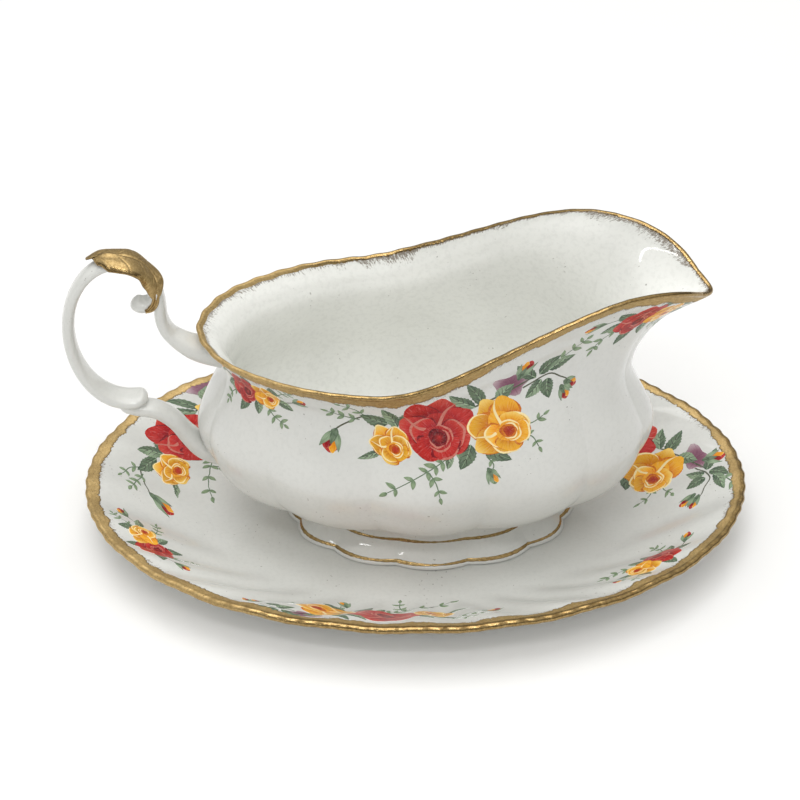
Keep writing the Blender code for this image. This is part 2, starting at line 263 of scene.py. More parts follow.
def leftwards(path):
    """Across each place of a flat path, which is outwards on the handle's scroll."""
    heading = unit(np.gradient(path, axis=0))
    return np.stack([-heading[:, 1], heading[:, 0]], axis=1)


def even_phase(loop):
    """How far round a closed loop each turn is, as an angle by length along it."""
    turns = np.linspace(0, TAU, 2049)
    length = lengths(loop(turns))
    return lambda turn: np.interp(np.mod(turn, TAU), turns, length / length[-1] * TAU)


def spline(stations, share):
    """Catmull-Rom through the stations, with its own share for each point."""
    last = len(stations) - 1
    before = [2 * stations[0] - stations[1]]
    after = [2 * stations[-1] - stations[-2]]
    knots = np.stack(before + list(stations) + after)
    place = np.clip(share, 0, 1) * last
    first = np.minimum(place.astype(int), last - 1)
    s = (place - first)[..., None]
    each = np.arange(knots.shape[1])
    p0, p1, p2, p3 = (knots[first + k, each] for k in range(4))
    return 0.5 * (2 * p1 + (p2 - p0) * s + (2 * p0 - 5 * p1 + 4 * p2 - p3) * s**2
                  + (3 * p1 - p0 - 3 * p2 + p3) * s**3)


def curve(places, share):
    """A smooth curve through some places, at some shares of the way along it."""
    return spline([np.tile(place, (len(share), 1)).astype(float) for place in places], share)


# ---------------------------------------------------------------- the stand's relief


def stand_outline(turn):
    return points(*oval((-STAND_LENGTH / 2, STAND_LENGTH / 2, STAND_WIDTH / 2), turn), 0)


STAND_PHASE = even_phase(stand_outline)


def stand_surface(turn, share):
    """The dish's upper face, from 0 at its middle to 1 at its rim."""
    turn, share = np.broadcast_arrays(turn, share)
    rise = np.clip((share - WELL_SHARE) / (1 - WELL_SHARE), 0, 1)
    climb = (1 - np.cos(FLANGE_TURN * rise)) / (1 - math.cos(FLANGE_TURN))
    height = WELL_TOP + (STAND_HEIGHT - WELL_TOP) * climb
    swept = turn - FLUTE_SWEEP * np.sin(2 * turn) * (1 - share)
    flute = np.cos(FLUTES * swept) * smooth_step(0.0, 0.45, rise) * (1 - 0.6 * smooth_step(0.8, 1, rise))
    wave = np.cos(STAND_WAVES * STAND_PHASE(turn)) * smooth_step(0.75, 1.0, rise)
    place = stand_outline(turn) * share[..., None]
    out = unit(stand_outline(turn))
    place = place + out * (STAND_WAVE_HEIGHT * (wave - 1))[..., None]
    place[..., 2] = height + FLUTE_DEPTH * flute + 0.5 * STAND_WAVE_HEIGHT * (wave - 1)
    return place


# ---------------------------------------------------------------- the boat's relief


def notch_depth(turn, roundness=LOBE_ROUNDNESS):
    """0 along the crest of each lobe and 1 in the notch between two."""
    return 1 - np.abs(np.cos(LOBES / 2 * turn)) ** roundness


def rim_line(turn):
    """The boat's rim, an egg in plan that rises to a beak at the spout."""
    forward = np.clip(np.cos(turn), 0, 1)
    reach = np.where(np.cos(turn) > 0, RIM_TIP - RIM_MIDDLE, RIM_MIDDLE - RIM_BACK)
    x = RIM_MIDDLE + reach * np.cos(turn)
    narrowing = 1 - RIM_NARROWING * forward - RIM_POINT * forward**8
    y = RIM_HALF_WIDTH * np.sin(turn) * narrowing
    height = RIM_LOW + (RIM_PEAK - RIM_LOW) * smooth_step(RIM_RISE_FROM, RIM_PEAK_AT, x)
    past_peak = np.clip((x - RIM_PEAK_AT) / (RIM_TIP - RIM_PEAK_AT), 0, 1)
    return points(x, y, height - TIP_DIP * past_peak**TIP_DIP_POWER)


RIM_PHASE = even_phase(rim_line)
BELLY_MIDDLE = np.array([(BELLY[0] + BELLY[1]) / 2, 0, 0])


def boat_surface(turn, share, roundness=LOBE_ROUNDNESS):
    """The bowl's outside, from 0 at the neck above the foot to 1 at the rim."""
    turn, share = np.broadcast_arrays(turn, share)
    shape = turn.shape
    turn, share = turn.ravel(), share.ravel()
    rim = rim_line(turn)
    belly = points(*oval(BELLY, turn), BELLY_HEIGHT)
    underside = BELLY_MIDDLE + (belly - BELLY_MIDDLE) * UNDERSIDE_SHARE
    underside[:, 2] = UNDERSIDE_HEIGHT
    lip = smooth_step(LIP_FROM, 1, np.cos(turn))
    waist_rise = WAIST_RISE - LIP_WAIST_DROP * lip
    waist = points(*oval(WAIST, turn), BELLY_HEIGHT + (rim[:, 2] - BELLY_HEIGHT) * waist_rise)
    throat_reach = THROAT_REACH + LIP_THROAT_REACH * lip
    throat_rise = THROAT_RISE + LIP_THROAT_RISE * lip
    throat = waist + (rim - waist) * points(throat_reach, throat_reach, throat_rise)
    neck = points(*oval(NECK, turn), NECK_HEIGHT)
    place = spline([neck, underside, belly, waist, throat, rim], share)
    depth = np.interp(share, LOBE_SHARES, LOBE_DEPTHS)
    depth = depth + LIP_NOTCH * smooth_step(0.5, 0.8, share) * smooth_step(0.3, 0.9, np.cos(turn))
    spoke = unit((place - BELLY_MIDDLE) * [1, 1, 0])
    wave = RIM_WAVE_HEIGHT * (1 - 0.8 * np.cos(turn)) * (np.cos(RIM_WAVES * RIM_PHASE(turn)) - 1)
    wave = wave * smooth_step(0.84, 1.0, share)
    place = place + spoke * (wave - depth * notch_depth(turn, roundness))[:, None]
    place[:, 2] += 0.5 * wave
    return place.reshape(*shape, 3)


def boat_inside_surface(turn, share):
    """The bowl's outside with soft notches, for the inside wall to lie behind."""
    return boat_surface(turn, share, INSIDE_ROUNDNESS)


def foot_surface(turn, share):
    """The foot's outside, from 0 at its base to 1 at the neck."""
    turn, share = np.broadcast_arrays(turn, share)
    spread = ((1 - share) ** 1.8)[..., None]
    base = points(*oval(FOOT_BASE, turn), 0)
    top = points(*oval(NECK, turn), 0)
    place = top + (base - top) * spread
    place = place * (1 - (FOOT_SCALLOP * (1 - share) + 0.01) * notch_depth(turn))[..., None]
    place[..., 2] = NECK_HEIGHT * share
    return place


# ---------------------------------------------------------------- walls and meshes


class Wall:
    """A wall behind a surface, with its inward direction and its rolled rim.

    facing is 1 where the wall lies inside a surface that climbs, as on the boat,
    and -1 where it lies under one that spreads, as on the stand.
    """

    STEP = 2e-3

    def __init__(self, surface, facing):
        self.surface = surface
        self.facing = facing

    def inward(self, turn, share):
        turn, share = np.broadcast_arrays(turn, share)
        share = np.clip(share, self.STEP, 1 - self.STEP)
        along = self.surface(turn, share + self.STEP) - self.surface(turn, share - self.STEP)
        around = self.surface(turn + self.STEP, share) - self.surface(turn - self.STEP, share)
        return unit(np.cross(along, around)) * self.facing

    def at(self, turn, share, depth):
        return self.surface(turn, share) + self.inward(turn, share) * np.asarray(depth)[..., None]

    def roll(self, turn, thickness, swing, grow=0.0):
        """A point on the rounded rim: swing runs from 0 at the outside to 1 at the inside."""
        rim = self.surface(turn, 1.0)
        inward = self.inward(turn, 1.0)
        up = unit(rim - self.surface(turn, 1 - 4 * self.STEP))
        middle = rim + inward * thickness / 2
        radius = thickness / 2 + grow
        return (middle - inward * radius * math.cos(math.pi * swing)
                + up * radius * math.sin(math.pi * swing))


def add_mesh(name, vertices, faces, place=(0, 0, 0)):
    """A smooth mesh in the row frame; the vertices are in millimetres from the place."""
    mesh = bpy.data.meshes.new(name)
    vertices = (np.asarray(vertices, float) + np.asarray(place, float)) * MM
    mesh.from_pydata(vertices.tolist(), [], faces)
    mesh.update()
    mesh.shade_smooth()
    piece = bpy.data.objects.new(name, mesh)
    bpy.context.scene.collection.objects.link(piece)
    return piece


def grid_faces(rows, size, closed=False):
    """Quads between successive rows of a ring of points."""
    row = np.arange(rows if closed else rows - 1)[:, None]
    i = np.arange(size)[None, :]
    j = (i + 1) % size
    after = (row + 1) % rows
    corners = (row * size + i, row * size + j, after * size + j, after * size + i)
    return np.stack(np.broadcast_arrays(*corners), axis=-1).reshape(-1, 4).tolist()


def add_loops(name, loops, place=(0, 0, 0), flip=False):
    """A closed body through the loops, whose first and last loops close to a point."""
    size = len(loops[0])
    faces = grid_faces(len(loops), size)
    count = len(loops) * size
    first, last = loops[0].mean(axis=0), loops[-1].mean(axis=0)
    faces += [(i, count, (i + 1) % size) for i in range(size)]
    low = count - size
    faces += [(low + i, low + (i + 1) % size, count + 1) for i in range(size)]
    if flip:
        faces = [face[::-1] for face in faces]
    return add_mesh(name, np.concatenate([*loops, [first, last]]), faces, place)


def store(piece, name, values):
    """One number or one vector for each vertex, for the materials to read."""
    values = np.asarray(values, np.float32)
    kind, field = ("FLOAT_VECTOR", "vector") if values.ndim > 1 else ("FLOAT", "value")
    attribute = piece.data.attributes.new(name, kind, "POINT")
    attribute.data.foreach_set(field, values.ravel())


STAND = Wall(stand_surface, -1)
BOAT = Wall(boat_surface, 1)
BOAT_INSIDE = Wall(boat_inside_surface, 1)


# ---------------------------------------------------------------- china


def rim_distance(wall, turn, shares):
    """How far down from the rim each share lies, a row for each share."""
    fine = np.linspace(min(shares), 1.0, 160)
    grid = wall.surface(turn[None, :], fine[:, None])
    steps = np.linalg.norm(np.diff(grid, axis=0), axis=2)
    down = np.concatenate([np.cumsum(steps[::-1], axis=0)[::-1], np.zeros((1, len(turn)))])
    return np.stack([np.interp(shares, fine, column) for column in down.T], axis=1)


class ChinaBody:
    """A china body built up loop by loop, with each point's place along and below the rim."""

    FAR = 60.0

    def __init__(self, wall, columns):
        self.wall = wall
        self.turn = np.linspace(0, TAU, columns, endpoint=False)
        self.around = lengths(wall.surface(np.append(self.turn, TAU), 1.0))[:-1]
        self.loops = []
        self.below = []
        self.gilt = []

    def add(self, loop, below=FAR, gilt=0.0):
        self.loops.append(loop)
        self.below.append(np.broadcast_to(below, self.turn.shape))
        self.gilt.append(np.broadcast_to(gilt, self.turn.shape))

    def add_wall(self, wall, shares, thickness, rim_thickness, blend, gilt):
        """Loops on a wall's surface, or behind it where there is a thickness, gilt so far down."""
        below = rim_distance(wall, self.turn, shares)
        for share, row in zip(shares, below):
            depth = thickness + (rim_thickness - thickness) * smooth_step(1 - blend, 1, share)
            self.add(wall.at(self.turn, share, depth), row, gilt)

    def add_roll(self, thickness):
        for swing in np.linspace(0.1, 0.9, ROLL_LOOPS):
            self.add(self.wall.roll(self.turn, thickness, swing), 0.0)

    def finish(self, name, place=(0, 0, 0), flip=False):
        piece = add_loops(name, self.loops, place, flip)
        around = np.tile(self.around, len(self.loops))
        values = np.stack([around, np.concatenate(self.below), np.concatenate(self.gilt)], axis=1)
        store(piece, "rim_place", np.concatenate([values, [[0, self.FAR, 0]] * 2]))
        return piece


def stand_china():
    """The dish and its foot ring, fired as one piece."""
    body = ChinaBody(STAND, STAND_COLUMNS)
    for share in np.linspace(0.02, 0.58, 8):
        body.add(STAND.surface(body.turn, share))
    above, below = stand_bands(body.turn)
    body.add_wall(STAND, np.linspace(0.6, 1.0, 48), 0, 0, 1, above)
    body.add_roll(STAND_RIM_WALL)
    body.add_wall(STAND, np.linspace(1.0, 0.6, 20), STAND_WALL, STAND_RIM_WALL, 0.15, below)
    under = WELL_TOP - STAND_WALL
    outer = FOOT_RING_SHARE
    inner = outer - 2 * FOOT_RING_WIDTH / STAND_LENGTH
    ring = [(0.03, under), (0.008, under - 0.25), (0.0, under - 0.9),
            (-0.002, 0.7), (-0.006, 0.15), (-0.011, 0.0)]
    profile = [(outer + step, height) for step, height in ring]
    profile += [(inner - step, height) for step, height in reversed(ring)]
    profile += [(0.2, under), (0.02, under)]
    for share, height in profile:
        body.add(stand_outline(body.turn) * share + [0, 0, height])
    return body.finish("stand_china", flip=True)


def boat_china():
    """The bowl and its foot, luted and fired as one piece."""
    body = ChinaBody(BOAT, BOAT_COLUMNS)
    turn = body.turn
    base = foot_surface(turn, 0.0)
    spoke = unit(base * [1, 1, 0])
    for inset, height in FOOT_HOLLOW:
        body.add(base - spoke * inset + [0, 0, height])
    for share in np.linspace(0.06, 0.96, 16):
        body.add(foot_surface(turn, share))
    outside, within = boat_bands(turn)
    climb = np.concatenate([np.linspace(0.02, 0.3, 19), np.linspace(0.32, 1.0, 50)])
    descent = np.concatenate([np.linspace(1.0, 0.3, 38), np.linspace(0.28, 0.1, 11)])
    body.add_wall(BOAT, climb, 0, 0, 1, outside)
    body.add_roll(RIM_WALL)
    outer_loops = len(body.loops)
    body.add_wall(BOAT_INSIDE, descent, BOWL_WALL, RIM_WALL, 0.25, within)
    edge = body.loops[-1]
    middle = edge.mean(axis=0)
    floor = NECK_HEIGHT + BOWL_WALL
    for shrink in (0.93, 0.86, 0.7, 0.4, 0.05):
        loop = middle + (edge - middle) * shrink
        settled = 1 - smooth_step(0.8, 1.0, shrink)
        loop[:, 2] = edge[:, 2] + (floor - edge[:, 2]) * settled
        body.add(loop)
    piece = body.finish("boat_china", BOAT_PLACE)
    # Marks the inside loops, where the china colour is painted lighter as a stand-in for light.
    inside = np.repeat(np.arange(len(body.loops)) >= outer_loops, len(turn))
    store(piece, "inside", np.append(inside, [False, True]))
    return piece


# ---------------------------------------------------------------- gilding


def wander(turn, waves, seed):
    """A smooth closed wobble round the rim, from -1 to 1, with about so many waves."""
    random = np.random.default_rng(seed)
    total = 0
    for count in (0.55, 0.8, 1.0, 1.35, 1.7):
        total = total + np.cos(round(waves * count) * turn + random.uniform(0, TAU))
    return total / 3.2


def stand_bands(turn):
    """How far the gilding reaches above and below the stand's rim."""
    above = STAND_GILT[0] * (1 - STAND_GILT_LOSS * smooth_step(0, 0.9, np.sin(turn)))
    return above, np.full_like(turn, STAND_GILT[1])


def boat_bands(turn):
    """How far the gilding reaches down outside and inside the boat's rim."""
    lip = smooth_step(-0.95, -0.1, np.cos(turn))
    return [width * (1 + change * lip) for width, change in zip(BOAT_GILT, LIP_GILT_CHANGE)]


def brushed_edge(turn, width, seed):
    """The ragged edge that a gilder's brush leaves, as a distance from the rim."""
    uneven = 0.17 * wander(turn, 14, seed) + 0.15 * wander(turn, 50, seed + 1)
    hairs = 0.26 * wander(turn, 210, seed + 2) + 0.24 * wander(turn, 480, seed + 3)
    return width * (1 + uneven) + hairs


def skin(name, rows, place, burnish_and_shade, dull):
    """A closed thin skin of rows, each an outer loop, an inner loop and values; burnished, and painted
    darker as shade, unless dull.
    """
    outer, inner, values = zip(*rows)
    loops = outer + inner[::-1]
    faces = grid_faces(len(loops), len(loops[0]), closed=True)
    piece = add_mesh(name, np.concatenate(loops), faces, place)
    store(piece, "gilt_place", np.concatenate(values + values[::-1]))
    distance = np.concatenate(values)[:, 1]
    # Burnished towards the rim's crest: smoother, and painted darker as shade.
    polish_and_shade = burnish_and_shade + (1 - burnish_and_shade) * (1 - smooth_step(0.0, 0.9, distance))
    polish_and_shade = polish_and_shade * (1 - 0.85 * np.tile(dull, len(rows)))
    store(piece, "burnish_and_shade", np.tile(polish_and_shade, 2))
    return piece


def rim_gilding(name, walls, thickness, bands, columns, burnish_and_shade, seed, place=(0, 0, 0)):
    """The gilt band over a rolled rim, with a ragged edge on each face."""
    turn = np.linspace(0, TAU, columns, endpoint=False)
    around = lengths(walls[0].surface(np.append(turn, TAU), 1.0))[:-1]
    fine = np.linspace(0.75, 1.0, 60)
    edges = [np.maximum(brushed_edge(turn, width, seed + 9 * face), LEAST_GILT)
             for face, width in enumerate(bands(turn))]

    def face_rows(face, depth, lift):
        wall, edge = walls[face], edges[face]
        down = rim_distance(wall, turn, fine)
        rows = []
        for part in np.linspace(0, 1, 9)[1:]:
            distance = edge * part
            share = np.array([np.interp(-distance[k], -down[:, k], fine) for k in range(columns)])
            out = lift * (GILT_SKIN if part < 1 else 0.3 * GILT_SKIN)
            loops = [wall.at(turn, share, depth + step) for step in (out, -lift * GILT_SINK)]
            rows.append((*loops, np.stack([around, distance, edge - distance], axis=1)))
        return rows

    rows = face_rows(0, 0.0, -1)[::-1]
    for swing in np.linspace(0, 1, ROLL_LOOPS + 2):
        loops = [walls[0].roll(turn, thickness, swing, grow) for grow in (GILT_SKIN, -GILT_SINK)]
        rows.append((*loops, np.stack([around, np.zeros(columns), edges[1] + 3 * (1 - swing)], axis=1)))
    rows += face_rows(1, thickness, 1)
    # Less burnish at the handle end: rougher there, and with less painted shade.
    handle_end = smooth_step(-0.3, -0.8, np.cos(turn))
    return skin(name, rows[::walls[0].facing], place, burnish_and_shade, handle_end)


def foot_line(name, middle):
    """A painted gold line round the foot, thicker and thinner as the brush went."""
    turn = np.linspace(0, TAU, FOOT_LINE_COLUMNS, endpoint=False)
    around = np.linspace(0, FOOT_LINE_LENGTH, FOOT_LINE_COLUMNS)
    seed = GILT_SEEDS["foot"]
    uneven = 1 + 0.3 * wander(turn, 9, seed) + 0.12 * wander(turn, 90, seed + 1)
    half = FOOT_LINE_WIDTH / 2 / NECK_HEIGHT * uneven
    rows = []
    for part in np.linspace(-1, 1, 7):
        place = foot_surface(turn, middle + half * part)
        out = unit(place * [1, 1, 0])
        from_edge = (1 - abs(part)) * half * NECK_HEIGHT + 0.4
        value = np.stack([around, part * half * NECK_HEIGHT, from_edge], axis=1)
        lift = GILT_SKIN if abs(part) < 1 else 0.3 * GILT_SKIN
        rows.append((place + out * lift, place - out * GILT_SINK, value))
    return skin(name, rows, BOAT_PLACE, BURNISH_AND_SHADE["foot"], np.zeros_like(turn))


# ---------------------------------------------------------------- handle and leaf


def scroll_path(count):
    """The C scroll's middle line, from its free lower end round to the heart of its volute."""
    turn = np.linspace(SCROLL_FROM, VOLUTE_FROM, 200)
    curl = 1 - SCROLL_CURL * smooth_step(0, 1, (turn - CURL_FROM) / (CURL_TO - CURL_FROM))
    x = SCROLL_CENTRE[0] + SCROLL_RADII[0] * curl * np.cos(turn)
    z = SCROLL_CENTRE[1] + SCROLL_RADII[1] * curl * np.sin(turn)
    bow = np.stack([x, z], axis=1)
    whole = np.concatenate([bow[:-1], curve((bow[-1], *VOLUTE), np.linspace(0, 1, 60))])
    length = lengths(whole)
    even = np.linspace(0, length[-1], count)
    return np.stack([np.interp(even, length, part) for part in whole.T], axis=1)


def back_wall(heights):
    """How far back the middle of the bowl's wall lies behind, at some heights."""
    shares = np.linspace(0.05, 1, 120)
    profile = BOAT.at(math.pi, shares, BOWL_WALL / 2)
    return np.interp(heights, profile[:, 2], profile[:, 0])


def strap(name, path, widths, thicknesses, in_wall=False):
    """A flat strap with rounded edges and ends in the middle plane, which may end in the bowl's wall."""
    turn = np.linspace(0, TAU, 40, endpoint=False)
    across = np.sign(np.sin(turn)) * np.abs(np.sin(turn)) ** STRAP_SQUARENESS / 2
    lift = np.sign(np.cos(turn)) * np.abs(np.cos(turn)) ** STRAP_SQUARENESS / 2
    length = lengths(path)
    loops = []
    for place, out, width, thickness, start in zip(path, leftwards(path), widths, thicknesses, length):
        end = start if in_wall else min(start, length[-1] - start)
        nose, blunt = (math.sqrt(1 - (1 - min(1, end / (part * size))) ** 2)
                       for part, size in ((0.5, width), (0.35, thickness)))
        side = across * width * (0.08 + 0.92 * nose)
        up = lift * thickness * max(blunt, 0.1)
        loop = points(place[0] + out[0] * up, side, place[1] + out[1] * up)
        if in_wall:
            loop[:, 0] = np.minimum(loop[:, 0], back_wall(loop[:, 2]))
        loops.append(loop)
    return add_loops(name, loops, BOAT_PLACE, flip=True)


def fuse(name, pieces, cell, softness):
    """One skin over overlapping pieces, with its inner corners softened like slip."""
    with bpy.context.temp_override(active_object=pieces[0], selected_editable_objects=pieces):
        bpy.ops.object.join()
    piece = pieces[0]
    piece.name = name
    remesh = piece.modifiers.new("fuse", "REMESH")
    remesh.mode = "VOXEL"
    remesh.voxel_size = cell * MM
    soften = piece.modifiers.new("soften", "SMOOTH")
    soften.iterations = softness
    mesh = bpy.data.meshes.new_from_object(piece.evaluated_get(bpy.context.evaluated_depsgraph_get()))
    piece.modifiers.clear()
    piece.data = mesh
    mesh.shade_smooth()
    return piece


def handle_china():
    """The C scroll, the arm it stands on and the arm that reaches up to it."""
    share = np.linspace(0, 1, 180)
    widths = STRAP_WIDTH * np.interp(share, [0, 0.15, 0.35, 1], [1.3, 1.28, 1.0, 0.95])
    thicknesses = STRAP_THICKNESS * np.interp(share, [0, 0.08, 0.2, 0.6, 0.85, 1],
                                              [0.9, 1.15, 1.1, 0.95, 0.8, 1.25])
    pieces = [strap("scroll", scroll_path(len(share)), widths, thicknesses)]
    widths = ARM_WIDTH * np.interp(share, [0, 0.6, 1], [0.95, 1.0, ARM_FLARE])
    for name, stations, parts in (("upper_arm", UPPER_ARM, (0.6, 1.0, 1.15, 2.5)),
                                  ("lower_arm", LOWER_ARM, (0.8, 1.25, 1.35, 2.0))):
        thicknesses = STRAP_THICKNESS * np.interp(share, [0, 0.25, 0.6, 1], parts)
        pieces.append(strap(name, curve(stations, share), widths, thicknesses, in_wall=True))
    return fuse("handle_china", pieces, HANDLE_CELL, 4)


def thumb_leaf():
    """The gilt leaf on the scroll: a forked tip, curled edges and a channelled tail."""
    path = scroll_path(600)
    outward = leftwards(path)
    along, side = np.meshgrid(np.linspace(0, 1, 170), np.linspace(-1, 1, 61), indexing="ij")
    fork = LEAF_FORK * np.exp(-(((side - LEAF_NOTCH) / 0.16) ** 2))
    start = (fork + LEAF_LAG * smooth_step(-0.3, 0.6, -side)) * (1 - smooth_step(0, 0.5, along))
    place = start + (1 - start) * along
    index = (LEAF_FROM + (LEAF_TO - LEAF_FROM) * place) * (len(path) - 1)
    blade_share = np.sin(math.pi * (0.2 + 0.8 * np.clip(place / 0.8, 0, 1))) ** 0.75
    half = LEAF_TAIL + (LEAF_HALF_WIDTH - LEAF_TAIL) * blade_share
    half = half * (0.6 + 0.4 * smooth_step(0.0, 0.12, along)) * (1 - 0.5 * smooth_step(0.93, 1.0, place))
    half = half * (1 + 0.05 * np.sin(19 * place) * (1 - place))
    edge = np.abs(side)
    open_part = 1 - smooth_step(0.6, 0.8, place)
    droop = (0.25 * edge**2 + 0.75 * edge**5) * LEAF_DROOP * half / LEAF_HALF_WIDTH
    ruffle = 0.4 * np.sin(15 * place + 2) * edge**4 * open_part
    midrib = 0.3 * np.exp(-((side / 0.06) ** 2)) * open_part
    channel = 0.75 * np.exp(-((side / 0.45) ** 2)) * smooth_step(0.66, 0.85, place)
    slant = np.mod(place * 6 - 0.9 * edge, 1) - 0.5
    vein = 0.16 * np.exp(-((slant / 0.05) ** 2)) * smooth_step(0.04, 0.2, edge) * open_part
    crown = LEAF_LIFT + LEAF_THICKNESS - droop + ruffle
    thickness = LEAF_THICKNESS * (1 - 0.6 * edge**8) * (0.4 + 0.6 * smooth_step(0, 0.05, along))
    lean = LEAF_TURN * smooth_step(0.48, 0.86, place)
    crown = crown + (STRAP_WIDTH - STRAP_THICKNESS) / 2 * np.sin(lean) ** 2
    crown = crown + LEAF_TIP_LIFT * (1 - smooth_step(0, 0.3, along))
    faces = []
    for height, order in ((crown - midrib - channel - vein, 1), (crown - thickness, -1)):
        out = height * np.cos(lean) + side * half * np.sin(lean)
        across = side * half * np.cos(lean) - height * np.sin(lean)
        x, z = (np.interp(index, np.arange(len(path)), path[:, k])
                + np.interp(index, np.arange(len(path)), outward[:, k]) * out for k in (0, 1))
        faces.append(points(x, across, z)[:, ::order])
    piece = add_loops("leaf_gilding", list(np.concatenate(faces, axis=1)), BOAT_PLACE, flip=True)
    values = np.stack([60 * place, half * side, np.full_like(place, 5)], axis=2)
    values = np.concatenate([values, values[:, ::-1]], axis=1).reshape(-1, 3)
    store(piece, "gilt_place", np.concatenate([values, [[0, 0, 5]] * 2]))
    # Burnish on the leaf: smoother, and painted darker as shade.
    polish_and_shade = np.maximum(smooth_step(0.72, 0.9, edge), 0.7 * smooth_step(0.66, 0.8, place))
    polish_and_shade = np.maximum(polish_and_shade, LEAF_BURNISH_AND_SHADE)
    polish_and_shade = np.concatenate([polish_and_shade, np.ones_like(polish_and_shade)], axis=1).ravel()
    store(piece, "burnish_and_shade", np.append(polish_and_shade, [1, 1]))
    return piece


# ---------------------------------------------------------------- printed flowers


def srgb(red, green, blue):
    """A colour given as it looks, from 0 to 255, as the linear colour that a shader takes."""
    values = np.array([red, green, blue]) / 255
    return np.where(values > 0.04045, ((values + 0.055) / 1.055) ** 2.4, values / 12.92)


RED = [srgb(*colour) for colour in ((84, 6, 20), (160, 22, 32), (188, 44, 40), (204, 74, 60))]
YELLOW = [srgb(*colour) for colour in ((186, 76, 14), (226, 142, 26), (240, 176, 48), (247, 208, 110))]
PINK_LIP = srgb(204, 122, 108)
CREAM = srgb(252, 232, 176)
LEAF_TONES = [[srgb(*colour) for colour in tones] for tones in (
    ((66, 86, 70), (108, 128, 102), (82, 102, 80)), ((108, 130, 104), (150, 170, 140), (112, 134, 108)))]
SAGE = [srgb(*colour) for colour in ((102, 126, 96), (144, 164, 130), (122, 146, 112))]
VEIN = srgb(74, 70, 68)
STEM = srgb(92, 96, 78)
MAUVE = [srgb(*colour) for colour in ((120, 70, 92), (138, 92, 112), (196, 176, 182))]

# The rings of petals in a rose: how many, how far they reach and how wide they are.
FULL_ROSE = ((7, 1.0, 0.95), (5, 0.72, 0.85))
HALF_ROSE = ((6, 1.0, 1.0), (4, 0.7, 0.85))


class Art:
    """Flat shapes in millimetres, each painted over the ones before it.

    A shape's colours run from its root to its tip, and so do its brush strokes.
    """

    def __init__(self, seed):
        self.shapes = []
        self.random = np.random.default_rng(seed)

    def add(self, outline, root, tip, colours, radial=False):
        outline = np.asarray(outline, float)
        nearby = np.roll(outline, -1, axis=0)
        area = np.sum(outline[:, 0] * nearby[:, 1] - nearby[:, 0] * outline[:, 1])
        outline = outline if area > 0 else outline[::-1]
        root, tip = np.asarray(root, float), np.asarray(tip, float)
        self.shapes.append((outline, root, tip, np.asarray(colours), radial))

    def paint(self, number, spots):
        """The colours of one shape at some spots, and the way its strokes run there."""
        _, root, tip, colours, radial = self.shapes[number]
        axis = tip - root
        length = np.linalg.norm(axis)
        axis = axis / length
        away = spots - root
        along = away @ axis
        across = away @ [-axis[1], axis[0]]
        run = np.linalg.norm(away, axis=1) if radial else along
        stops = np.clip(run / length, 0, 1) * (len(colours) - 1)
        steps = np.arange(len(colours))
        colour = np.stack([np.interp(stops, steps, channel) for channel in colours.T], axis=1)
        if radial:
            across = np.arctan2(across, along) * length * 0.6
        return colour, np.stack([run, across, np.full(len(spots), 3.7 * number)], axis=1)


def line(art, places, widths, colour):
    """A brushed line, given its places and its width along it."""
    path = curve(places, np.linspace(0, 1, 9 + 3 * len(places)))
    side = leftwards(path)
    half = np.interp(np.linspace(0, 1, len(path)), np.linspace(0, 1, len(widths)), widths)[:, None] / 2
    outline = np.concatenate([path + side * half, (path - side * half)[::-1]])
    art.add(outline, path[0], path[-1] + [1e-3, 0], [colour, colour * 0.9])


def blade(root, tip, width, fullness=0.8, swerve=0.0, teeth=0):
    """The two edges and the midrib of a leaf shape."""
    root, tip = np.array(root, float), np.array(tip, float)
    axis = tip - root
    side = np.array([-axis[1], axis[0]]) / np.linalg.norm(axis)
    share = np.linspace(0, 1, 2 * teeth + 3 if teeth else 13)
    rib = root + axis * share[:, None] + side * (swerve * np.sin(math.pi * share))[:, None]
    half = width / 2 * np.sin(math.pi * share**fullness) ** 0.85
    if teeth:
        half = half * (1 - 0.14 * (np.arange(len(share)) % 2))
    return rib + side * half[:, None], rib, rib - side * half[:, None]


def leaf(art, root, tip, width, tone=0, swerve=0.4):
    """A rose leaf with saw teeth, one half darker than the other, and veins."""
    left, rib, right = blade(root, tip, width, 0.75, swerve, teeth=7)
    other = LEAF_TONES[0] if tone else LEAF_TONES[0][::-1]
    for edge, colours in ((left, LEAF_TONES[tone]), (right, other)):
        art.add(np.concatenate([rib, edge[-2:0:-1]]), rib[0], rib[-1], colours)
    line(art, rib[::4], (0.34, 0.26, 0.1), LEAF_TONES[1][1] * (1.25 if tone else 1.0))
    for k in (3, 6, 9):
        for edge in (left, right):
            end = rib[k] + (edge[min(k + 4, len(edge) - 2)] - rib[k]) * 0.82
            line(art, (rib[k], (rib[k] + end) / 2 + [0.05, 0.1], end), (0.24, 0.2, 0.08), VEIN)


def leaflet(art, root, tip, width):
    left, rib, right = blade(root, tip, width)
    art.add(np.concatenate([left, right[-2:0:-1]]), rib[0], rib[-1], SAGE)


def sprig(art, places, size, pairs):
    """A fine twig with small leaves in pairs and one at its end."""
    line(art, places, (0.5, 0.4, 0.3), SAGE[0])
    path = curve(places, np.linspace(0, 1, pairs * 4 + 1))
    for k in range(2, len(path), 4):
        heading = unit(path[k] - path[k - 1])
        for way in (-1, 1):
            angle = way * art.random.uniform(0.75, 1.1)
            out = np.array([heading[0] * math.cos(angle) - heading[1] * math.sin(angle),
                            heading[0] * math.sin(angle) + heading[1] * math.cos(angle)])
            reach = size * art.random.uniform(0.9, 1.25)
            leaflet(art, path[k], path[k] + out * reach, reach * 0.46)
    leaflet(art, path[-1], path[-1] + unit(path[-1] - path[-2]) * size, size * 0.46)


